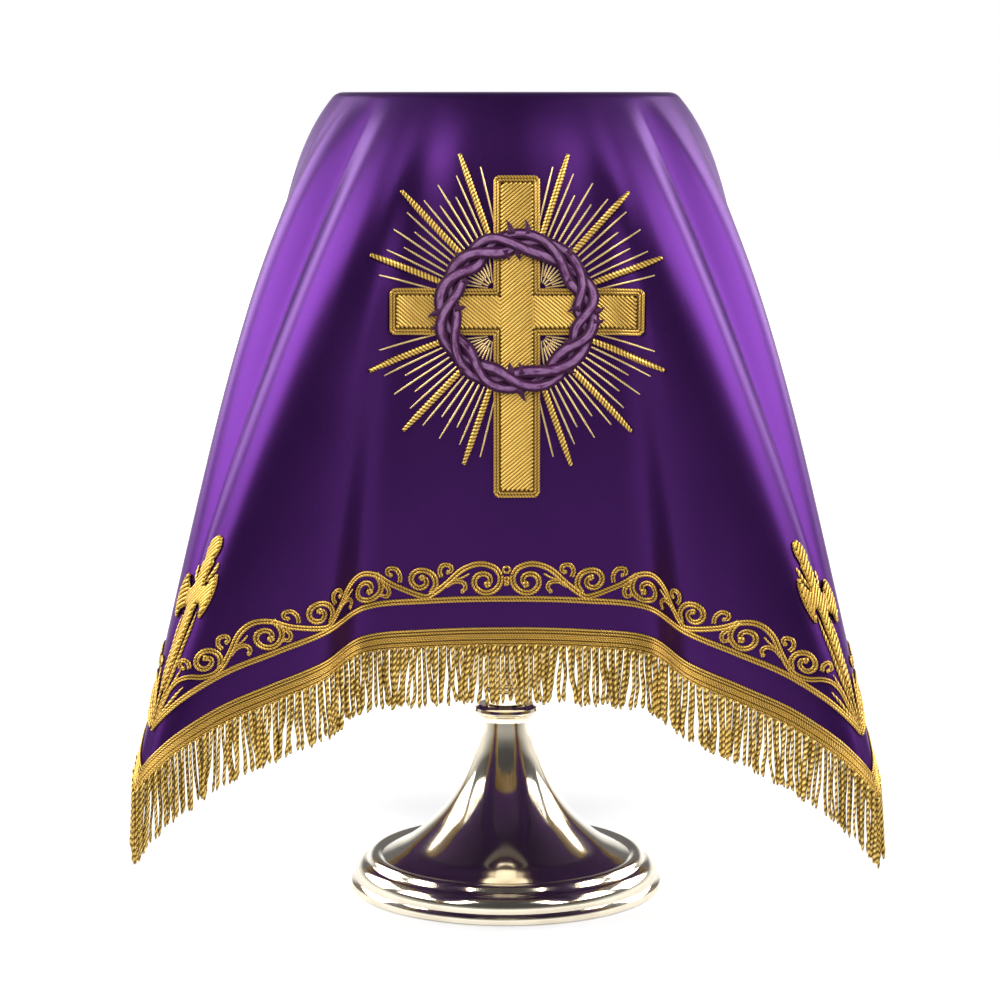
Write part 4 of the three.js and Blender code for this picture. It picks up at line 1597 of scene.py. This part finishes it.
@dataclass
class Emblem:
    """The cross, crown of thorns and rays embroidered on the front."""

    drape: Drape
    x: float = 0.004
    z: float = 0.2593
    arm: float = 50.5
    top: float = 53.0
    foot: float = -73.0
    half_width: float = 9.1
    stitch_lean: float = 40.0
    edge_width: float = 2.9
    # Each cord: its inset and radius in millimetres, and its tone; cords of no tone are darkened as painted
    # shade between the others.
    edge_cords: tuple[tuple[float, float, float], ...] = (
        (0.50, 0.62, 0.85),
        (1.72, 0.55, 1.0),
        (2.55, 0.30, 0.0),
        (1.12, 0.30, 0.0),
    )
    crown: float = 27.3
    swing: float = 3.3
    strand: float = 1.55
    ray_start: float = 31.8
    broad_right: tuple[tuple[float, float], ...] = (
        (18.4, 64.5),
        (43.7, 64.2),
        (69.7, 61.0),
        (111.0, 62.2),
        (135.9, 65.6),
        (160.4, 64.2),
    )
    broad_left: tuple[tuple[float, float], ...] = (
        (20.2, 65.4),
        (44.2, 65.6),
        (68.9, 61.9),
        (111.4, 62.6),
        (136.2, 64.9),
        (160.7, 63.6),
    )
    thorns: tuple[tuple[float, int, float], ...] = (
        (94, 1, 6.5), (82, 1, 6.5), (101, -1, 5), (89, -1, 5.5), (181, 1, 5.5), (190, 1, 5.0),
        (177, -1, 5.5), (3, -1, 5.5), (0, 1, 5.5), (352, 1, 5.5), (264, -1, 5.5), (275, -1, 5.5),
        (273, 1, 6.0), (135, 1, 4), (48, 1, 4), (226, 1, 4), (312, 1, 4), (150, -1, 4),
        (30, -1, 3.6), (215, -1, 3.6), (330, -1, 3.6),
    )

    def _at(self, x: Array, z: Array) -> tuple[Array, Array]:
        """Finds a place on the cloth from the emblem's middle.

        Args:
            x: Distances to the right of it, in metres.
            z: Distances above it, in metres.

        Returns:
            Places around the veil, and steps down it.
        """
        return self.drape.on_front(np.asarray(x) + self.x, np.asarray(z) + self.z)

    def cross(self) -> bpy.types.Object:
        """Embroiders the cross.

        Returns:
            The cross.
        """
        threads = Threads("emblem_cross_gold")
        needle = Needle(self.drape, threads, self._at)
        inset = self.half_width - self.edge_width
        upright = [
            (-inset, self.foot + self.edge_width),
            (inset, self.foot + self.edge_width),
            (inset, self.top - self.edge_width),
            (-inset, self.top - self.edge_width),
        ]
        stitch = {"spacing": 0.00118, "lift": 0.0009, "pad": 0.00025, "tone": 0.62}
        needle.fill([(x * MM, z * MM) for x, z in upright], self.stitch_lean, **stitch)
        for side in (-1, 1):
            tip = self.arm - self.edge_width
            arm = [(inset, -inset), (tip, -inset), (tip, inset), (inset, inset)]
            needle.fill([(side * x * MM, z * MM) for x, z in arm], -self.stitch_lean, **stitch)
        for offset, radius, tone in self.edge_cords:
            needle.sew(self._outline(offset), radius * MM, COUCHED, lift=0.0009, tone=tone, closed=True)
            # Cords of no tone are darkened: painted shade between the edge cords.
            if not tone:
                threads.darken(0.25)
        return threads.made()

    def _outline(self, offset: float) -> Array:
        """Draws the cross's outline.

        Args:
            offset: How far inside its edge, in millimetres.

        Returns:
            The outline's points, in metres.
        """
        half = self.half_width - offset
        arm, top, foot = self.arm - offset, self.top - offset, self.foot + offset
        soft = max(0.3, 1.5 - offset / 2)
        corner = []
        plan = [
            (half, foot, 1), (half, -half, 0), (arm, -half, 1),
            (arm, half, 1), (half, half, 0), (half, top, 1),
            (-half, top, 1), (-half, half, 0), (-arm, half, 1),
            (-arm, -half, 1), (-half, -half, 0), (-half, foot, 1),
        ]
        count = len(plan)
        for i, (x, z, rounded) in enumerate(plan):
            if not rounded:
                corner.append((x, z))
                continue
            for other in (plan[i - 1], plan[(i + 1) % count]):
                run = math.hypot(other[0] - x, other[1] - z)
                corner.append((x + (other[0] - x) * soft / run, z + (other[1] - z) * soft / run))
        corner.append(corner[0])
        return even(np.array(corner) * MM, 0.0004)

    def vines(self) -> bpy.types.Object:
        """Embroiders the crown of three entwined vines, with painted shade beneath them and along their
        edges.

        Returns:
            The crown.
        """
        threads = Threads("thorn_crown_vines")
        turn = np.linspace(0, 2 * math.pi, 420, endpoint=False)
        wander = 0.35 * np.sin(2 * turn + 0.6) + 0.25 * np.sin(3 * turn)
        # A broad darkened sheet under the vines: painted shade showing between them.
        self._vine(threads, turn, np.full_like(turn, self.crown), 0.0003, 3.9, 0.14, shade_sheet=True)
        for number in range(3):
            phase = 4 * turn + 2 * math.pi * number / 3 + wander
            offset = self.swing * np.sin(phase) + 0.35 * np.sin(2 * phase + number)
            width = self.strand * (1 + 0.14 * np.sin(turn * 2 + number * 2))
            lift = 0.0012 + 0.00085 * np.cos(phase)
            self._vine(threads, turn, self.crown + offset, lift, width, 0.50)
            # Darkened cords along both edges of each vine: painted shade.
            for edge in (-1, 1):
                self._shade_edge(threads, turn, self.crown + offset + edge * width * 1.08, lift - 0.0002)
        for angle, sense, length in self.thorns:
            self._thorn(threads, angle, sense, length)
        return threads.made()

    def _over(self, x: Array, z: Array) -> Array:
        """Tells how far the crown climbs over the cross's bars.

        Args:
            x: Distances to the right of the emblem's middle, in millimetres.
            z: Distances above it, in millimetres.

        Returns:
            The climb, in metres.
        """
        gap = np.minimum(np.abs(x), np.abs(z)) - self.half_width
        share = np.clip(1 - gap / 4.5, 0, 1)
        return 0.0013 * share**2 * (3 - 2 * share)

    def _vine(
        self,
        threads: Threads,
        turn: Array,
        radius: Array,
        lift: Array | float,
        width: Array | float,
        flat: float,
        shade_sheet: bool = False,
    ) -> None:
        """Sews one vine, or the dark sheet beneath them that is painted shade between them.

        Args:
            threads: Where it goes.
            turn: Angles round the crown.
            radius: Its distance from the middle at each, in millimetres.
            lift: Its height above the cloth.
            width: Its half width, in millimetres.
            flat: Its thickness as a share of its width.
            shade_sheet: Whether it is the dark sheet of painted shade.
        """
        x, z = radius * np.cos(turn), radius * np.sin(turn)
        place = self._at(x * MM, z * MM)
        centre = self.drape.lifted(place, lift + self._over(x, z))
        out = self.drape.outward(*place)
        threads.cord(centre, out, width * MM, VINE, flat, 0.5, closed=True, shaded_sides=not shade_sheet)
        # The sheet is darkened as painted shade; a vine's own sides get painted shade too.
        if shade_sheet:
            threads.darken(0.07)
            return
        grain = np.random.default_rng(7).uniform(0, 1, (len(turn), VINE.sides))
        grain = sum(np.roll(grain, step, axis=0) for step in range(-2, 3)) / 5
        threads.relief[-1] = threads.relief[-1] * (0.1 + 1.8 * grain).reshape(-1)

    def _shade_edge(self, threads: Threads, turn: Array, radius: Array, lift: Array) -> None:
        """Sews a darkened cord along one edge of a vine, as painted shade.

        Args:
            threads: Where it goes.
            turn: Angles round the crown.
            radius: Its distance from the middle at each, in millimetres.
            lift: Its height above the cloth at each.
        """
        x, z = radius * np.cos(turn), radius * np.sin(turn)
        place = self._at(x * MM, z * MM)
        centre = self.drape.lifted(place, lift + self._over(x, z))
        threads.cord(centre, self.drape.outward(*place), 0.00062, SHADE_CORD, closed=True)
        # Darkened: painted shade along the vine's edge.
        threads.darken(0.22)

    def _thorn(self, threads: Threads, angle: float, sense: int, length: float) -> None:
        """Sews one thorn.

        Args:
            threads: Where it goes.
            angle: Its place round the crown, in degrees.
            sense: 1 outwards, -1 inwards.
            length: How far it stands from the vines' middle line, in millimetres.
        """
        share = np.linspace(0, 1, 7)
        radius = self.crown + sense * (3.0 + (length - 0.8) * share)
        turn = np.radians(angle + sense * 3.0 * share**2)
        x, z = radius * np.cos(turn), radius * np.sin(turn)
        place = self._at(x * MM, z * MM)
        centre = self.drape.lifted(place, 0.0012 + self._over(x, z) * 0.9)
        threads.cord(centre, self.drape.outward(*place), 0.0018 * (1.02 - share), VINE, 0.7)
        threads.relief[-1] = np.full_like(threads.relief[-1], 0.20)

    def rays(self) -> tuple[bpy.types.Object, bpy.types.Object]:
        """Embroiders the rays.

        Returns:
            The broad rays, and the fine ones.
        """
        broad, fine = Threads("rays_broad"), Threads("rays_fine")
        for side, turns in ((-1, self.broad_left), (1, self.broad_right)):
            for turn, tip in turns:
                self._ray(broad, side * turn, (self.ray_start, tip), 1.25, BROAD_RAY, 0.9)
            for turn, tip in self._fine([turn for turn, _ in turns]):
                self._ray(fine, side * turn, (self.ray_start, tip), 0.44, FINE_RAY, 1.6)
            for end in (-1, 1):
                self._fan(fine, side, end)
        return broad.made(), fine.made()

    def _fan(self, threads: Threads, side: int, end: int) -> None:
        """Sews the short rays that spread from one inner corner of the cross.

        Args:
            threads: Where they go.
            side: -1 left, 1 right.
            end: -1 below, 1 above.
        """
        needle = Needle(self.drape, threads, self._at)
        corner = np.array([self.half_width, self.half_width])
        for number, turn in enumerate(np.radians(np.linspace(8, 82, 9))):
            way = np.array([math.cos(turn), math.sin(turn)])
            ahead = float(corner @ way)
            reach = -ahead + math.sqrt(ahead**2 - float(corner @ corner) + (self.crown - 3.6) ** 2)
            line = np.stack([corner + way * (5.0 if number % 2 else 2.4), corner + way * reach])
            needle.sew(line * (side * MM, end * MM), 0.00038, FINE_RAY, flat=0.7, tone=1.6, taper=(0.8, 0.8))

    def _fine(self, turns: list[float]) -> list[tuple[float, float]]:
        """Lists the fine rays of one half.

        Args:
            turns: The broad rays' turns from upright, in degrees.

        Returns:
            The fine rays' turns, and their reach in millimetres.
        """
        rays = [(14.2, 58.3), (75.1, 56.2), (105.4, 56.3), (165.8, 58.8)]
        for first, last in ((0, 1), (1, 2), (3, 4), (4, 5)):
            for number, tip in enumerate((58.2, 50.8, 58.4, 51.2, 56.8), start=1):
                rays.append((turns[first] + (turns[last] - turns[first]) * number / 6, tip))
        return rays

    def _ray(
        self,
        threads: Threads,
        turn: float,
        reach: tuple[float, float],
        radius: float,
        ply: Ply,
        tone: float,
    ) -> None:
        """Sews one ray.

        Args:
            threads: Where it goes.
            turn: Its angle from upright, in degrees.
            reach: Where it starts and ends, from the emblem's middle, in millimetres.
            radius: Its half width, in millimetres.
            ply: How it is twisted.
            tone: How bright it is.
        """
        angle = math.radians(90 - turn)
        way = np.array([math.cos(angle), math.sin(angle)])
        line = np.array([way * reach[0], way * reach[1]]) * MM
        needle = Needle(self.drape, threads, self._at)
        needle.sew(line, radius * MM, ply, flat=0.62, tone=tone, taper=(0.9, 0.6))


# The chalice


@dataclass(frozen=True)
class Turning:
    """A turned piece, spun from its profile of radii and heights in millimetres."""

    name: str
    runs: tuple[tuple[tuple[float, float], ...], ...]
    steps: int = 128
    fineness: float = 0.0012

    def profile(self) -> Array:
        """Joins the runs, each a smooth curve, with crisp corners between them.

        Returns:
            Radii and heights, in metres.
        """
        parts = []
        for run in self.runs:
            points = [(r * MM, z * MM) for r, z in run]
            parts.append(smooth_line(points, self.fineness) if len(run) > 2 else np.array(points))
        joined = np.concatenate(parts)
        apart = np.linalg.norm(np.diff(joined, axis=0), axis=1) > 1e-6
        return joined[np.concatenate([[True], apart])]

    def build(self) -> bpy.types.Object:
        """Draws the profile by extruding a point, and spins it.

        Returns:
            The turned piece.
        """
        profile = self.profile()
        bpy.ops.object.select_all(action="DESELECT")
        bpy.ops.mesh.primitive_plane_add(size=0.001, location=(profile[0][0], 0, profile[0][1]))
        piece = bpy.context.object
        piece.name = piece.data.name = self.name
        bpy.ops.object.mode_set(mode="EDIT")
        bpy.ops.mesh.select_all(action="SELECT")
        bpy.ops.mesh.merge(type="CENTER")
        for here, there in zip(profile, profile[1:]):
            move = (there[0] - here[0], 0.0, there[1] - here[1])
            bpy.ops.mesh.extrude_region_move(TRANSFORM_OT_translate={"value": move})
        bpy.ops.mesh.select_all(action="SELECT")
        bpy.ops.mesh.spin(steps=self.steps, angle=2 * math.pi, center=(0, 0, 0), axis=(0, 0, 1))
        bpy.ops.mesh.select_all(action="SELECT")
        bpy.ops.mesh.remove_doubles(threshold=0.00002)
        bpy.ops.mesh.normals_make_consistent(inside=False)
        bpy.ops.object.mode_set(mode="OBJECT")
        bpy.ops.object.transform_apply(location=True, rotation=True, scale=True)
        bpy.ops.object.shade_smooth_by_angle(angle=math.radians(32))
        return piece


@dataclass
class Chalice:
    """The plain silver chalice and the stiffened linen disc on its rim."""

    foot: Turning = Turning(
        "foot_silver",
        (
            ((0, 1.2), (64.5, 1.2)),
            ((64.5, 1.2), (65.2, 0.1), (66.4, 0.0)),
            ((66.4, 0.0), (67.6, 0.5), (68.0, 1.9), (67.6, 3.2), (66.5, 3.8)),
            ((66.5, 3.8), (65.9, 4.5)),
            ((65.9, 4.5), (66.1, 6.0), (65.4, 8.8), (63.4, 11.1), (61.2, 12.0)),
            ((61.2, 12.0), (60.5, 12.7)),
            ((60.5, 12.7), (59.6, 14.3), (57.8, 15.3), (55.8, 15.2), (54.6, 14.5)),
            ((54.6, 14.5), (54.2, 14.4)),
            (
                (54.2, 14.4), (50, 16.3), (43.5, 19.8), (36.2, 25.4), (29, 32.2), (22.6, 40.5), (18, 48.7),
                (14.6, 57.6), (12.4, 66.4), (11, 74.8),
            ),
            ((11, 74.8), (11.2, 75.8)),
            ((11.2, 75.8), (12.8, 76.4), (13.8, 77.8), (13.5, 79.4), (12.3, 80.2)),
            ((12.3, 80.2), (11.8, 81.0)),
            ((11.8, 81.0), (0, 81.0)),
        ),
    )
    knop: Turning = Turning(
        "knop_silver",
        (
            ((0, 81.3), (9, 81.3)),
            ((9, 81.3), (9, 86.5)),
            ((9, 86.5), (10.5, 88.2), (15, 91), (21, 97.5), (23.6, 103)),
            ((23.6, 103), (24.2, 106), (23.6, 109)),
            ((23.6, 109), (21, 114.8), (15, 121), (10.5, 123.8), (9, 125.6)),
            ((9, 125.6), (9, 131)),
            ((9, 131), (0, 131)),
        ),
        96,
    )
    stem: Turning = Turning(
        "stem_silver",
        (
            ((0, 131.3), (12, 131.3)),
            ((12, 131.3), (12.4, 133.2), (11.8, 135)),
            ((11.8, 135), (8.8, 137), (7.8, 142), (7.4, 175), (8.4, 210), (10, 216.5), (12.6, 219)),
            ((12.6, 219), (13.4, 222.5), (12.9, 226)),
            ((12.9, 226), (0, 226)),
        ),
        64,
    )
    bowl: Turning = Turning(
        "bowl_silver",
        (
            ((0, 226.3), (14, 226.3)),
            ((14, 226.3), (28, 232.3), (38, 244.3), (43, 262.3), (45, 288.3), (46, 338.2)),
            ((46, 338.2), (46.1, 339.0), (45.2, 339.2), (44.4, 338.4)),
            ((44.4, 338.4), (43.4, 288.8), (41.4, 263), (36.6, 245.4), (27.2, 233.9), (13.6, 227.9)),
            ((13.6, 227.9), (0, 227.9)),
        ),
        96,
        0.004,
    )
    pall: Turning = Turning(
        "pall_linen_disc",
        (
            ((0, 339.5), (68.6, 339.5)),
            ((68.6, 339.5), (69.7, 340.1), (70, 341.4), (69.7, 342.8), (68.6, 343.4)),
            ((68.6, 343.4), (66.4, 343.4)),
            ((66.4, 343.4), (66.0, 343.1)),
            ((66.0, 343.1), (0, 343.1)),
        ),
        128,
    )

    def build(self) -> None:
        """Turns and dresses the five pieces."""
        silver = SilverFinish().material()
        for turning, node in (
            (self.foot, "chalice_foot"),
            (self.knop, "chalice_knop"),
            (self.stem, "chalice_stem"),
            (self.bowl, "chalice_bowl"),
        ):
            kept(turning.build(), Slot.SILVER, [node], silver)
        kept(self.pall.build(), Slot.LINEN, ["pall_disc"], LinenFinish().material())


# The room


@dataclass
class Studio:
    """A pale floor that glows, soft lights and the camera."""

    floor_size: float = 24.0
    lens: float = 106.3
    camera_place: tuple[float, float, float] = (-0.0026, -1.264, 0.348)
    camera_pitch: float = 82.0

    def build(self) -> None:
        """Sets up the floor, the lights and the camera."""
        self._floor()
        self._world()
        self._panel("left_soft", (-1.61, -0.75, 1.54), (0, 0, 0.22), (2.2, 1.2), 94)
        self._panel("right_soft", (1.61, -0.75, 1.54), (0, 0, 0.22), (2.2, 1.2), 90)
        self._panel("left_back_soft", (-1.60, 1.10, 1.0), (0, 0, 0.22), (1.3, 1.0), 30)
        self._panel("right_back_soft", (1.60, 1.10, 1.0), (0, 0, 0.22), (1.3, 1.0), 30)
        camera = bpy.data.cameras.new("camera")
        camera.lens = self.lens
        camera.sensor_width = 36.0
        camera.clip_start = 0.05
        view = bpy.data.objects.new("camera", camera)
        view.location = self.camera_place
        view.rotation_euler = (math.radians(self.camera_pitch), 0, 0)
        bpy.context.scene.collection.objects.link(view)
        bpy.context.scene.camera = view
        bpy.context.scene.view_settings.view_transform = "Standard"

    def _floor(self) -> None:
        """Lays the pale floor, which glows as painted light: dimmer round the chalice as a painted contact
        shadow, dimmer in front, brightest far behind.
        """
        bpy.ops.object.select_all(action="DESELECT")
        bpy.ops.mesh.primitive_plane_add(size=self.floor_size, location=(0, 0, 0))
        floor = bpy.context.object
        floor.name = "studio_floor"
        recipe = Recipe("pale_floor")
        cloud = recipe.noise(3.0, 2.0)
        tone = recipe.mix(cloud, (0.46, 0.46, 0.46), (0.50, 0.50, 0.50))
        place = recipe.node("TexCoord").outputs["Object"]
        away = recipe.level(recipe.node("VectorMath", {"operation": "LENGTH"}, Vector=place).outputs["Value"])
        depth = recipe.level(recipe.node("SeparateXYZ", Vector=place).outputs["Y"])
        # The floor's glow is painted light, rising from front to back.
        far = recipe.mix(((depth + 1.6) * 0.8).clamped(), (0.35, 0.35, 0.35), (1.1, 1.1, 1.1))
        # A dimmer glow near the chalice: a painted contact shadow.
        glow = recipe.mix(((away - 0.4) * 0.4).clamped(), (0.30, 0.30, 0.30), far)
        floor.data.materials.append(
            recipe.shade(Base_Color=tone, Roughness=0.9, Emission_Color=glow, Emission_Strength=1.0)
        )

    def _world(self) -> None:
        """Makes the room pale at the horizon and darker above."""
        world = bpy.data.worlds.new("studio_world")
        world.use_nodes = True
        bpy.context.scene.world = world
        tree = world.node_tree
        place = tree.nodes.new("ShaderNodeTexCoord")
        split = tree.nodes.new("ShaderNodeSeparateXYZ")
        ramp = tree.nodes.new("ShaderNodeValToRGB")
        ramp.color_ramp.elements[0].position = 0.08
        ramp.color_ramp.elements[0].color = (1.0, 1.0, 1.0, 1)
        ramp.color_ramp.elements[1].position = 0.22
        ramp.color_ramp.elements[1].color = (0.16, 0.16, 0.18, 1)
        front = tree.nodes.new("ShaderNodeValToRGB")
        front.color_ramp.elements[0].position = 0.25
        front.color_ramp.elements[0].color = (0.42, 0.42, 0.42, 1)
        front.color_ramp.elements[1].position = 0.60
        front.color_ramp.elements[1].color = (1.0, 1.0, 1.0, 1)
        across = tree.nodes.new("ShaderNodeMapRange")
        across.inputs["From Min"].default_value = -1.0
        both = tree.nodes.new("ShaderNodeVectorMath")
        both.operation = "MULTIPLY"
        tree.links.new(place.outputs["Generated"], split.inputs[0])
        tree.links.new(split.outputs["Z"], ramp.inputs[0])
        tree.links.new(split.outputs["Y"], across.inputs["Value"])
        tree.links.new(across.outputs[0], front.inputs[0])
        tree.links.new(ramp.outputs[0], both.inputs[0])
        tree.links.new(front.outputs[0], both.inputs[1])
        tree.links.new(both.outputs[0], tree.nodes["Background"].inputs[0])
        tree.nodes["Background"].inputs[1].default_value = 1.0

    def _panel(
        self, name: str, place: Sequence[float], aim: Sequence[float], size: tuple[float, float], power: float
    ) -> None:
        """Hangs one soft light.

        Args:
            name: Its name.
            place: Where it hangs.
            aim: What it faces.
            size: Its width and height.
            power: Its strength in watts.
        """
        light = bpy.data.lights.new(name, "AREA")
        light.shape = "RECTANGLE"
        light.size, light.size_y = size
        light.energy = power
        lamp = bpy.data.objects.new(name, light)
        lamp.location = place
        lamp.rotation_euler = (Vector(aim) - Vector(place)).to_track_quat("-Z", "Y").to_euler()
        bpy.context.scene.collection.objects.link(lamp)


def main() -> None:
    """Builds the veil, its embroidery, the chalice and the room."""
    Studio().build()
    drape = Drape()
    cloth = Cloth(drape)
    veil = cloth.build()
    cloth.dress(veil)
    gold = GoldFinish().material()
    bullion = BullionFinish().material()
    sewn = []
    for number, face in enumerate(drape.faces):
        edging = Edging(drape, number)
        braid, fringe = edging.braid(), edging.fringe()
        kept(braid, Slot.GOLD, [f"fringe_{face.name}"], gold)
        kept(fringe, Slot.GOLD, [f"fringe_{face.name}"], bullion)
        border = Border(drape, number).build()
        kept(border, Slot.GOLD, [f"border_{face.name}"], gold)
        cross = CornerCross(drape, number).build()
        kept(cross, Slot.GOLD, [f"corner_cross_{number + 1}"], gold)
        sewn += [braid, fringe, border, cross]
    emblem = Emblem(drape)
    cross = emblem.cross()
    kept(cross, Slot.GOLD, ["emblem_cross"], gold)
    vines = emblem.vines()
    kept(vines, Slot.THORN, ["thorn_crown"], ThornFinish().material())
    broad, fine = emblem.rays()
    rays = [f"ray_{side}_{number}" for side in ("right", "left") for number in range(1, 7)]
    kept(broad, Slot.GOLD, rays, gold)
    # Paler gold for the fine rays; its first colour is painted shade and its last a painted highlight.
    pale = GoldFinish("pale_gold_thread", (0.060, 0.020, 0.010), (0.520, 0.340, 0.110), (0.860, 0.700, 0.420))
    kept(fine, Slot.GOLD, [], pale.material())
    sewn += [cross, vines, broad, fine]
    Chalice().build()


if __name__ == "__main__":
    logging.basicConfig(level=logging.INFO, format="%(message)s")
    main()
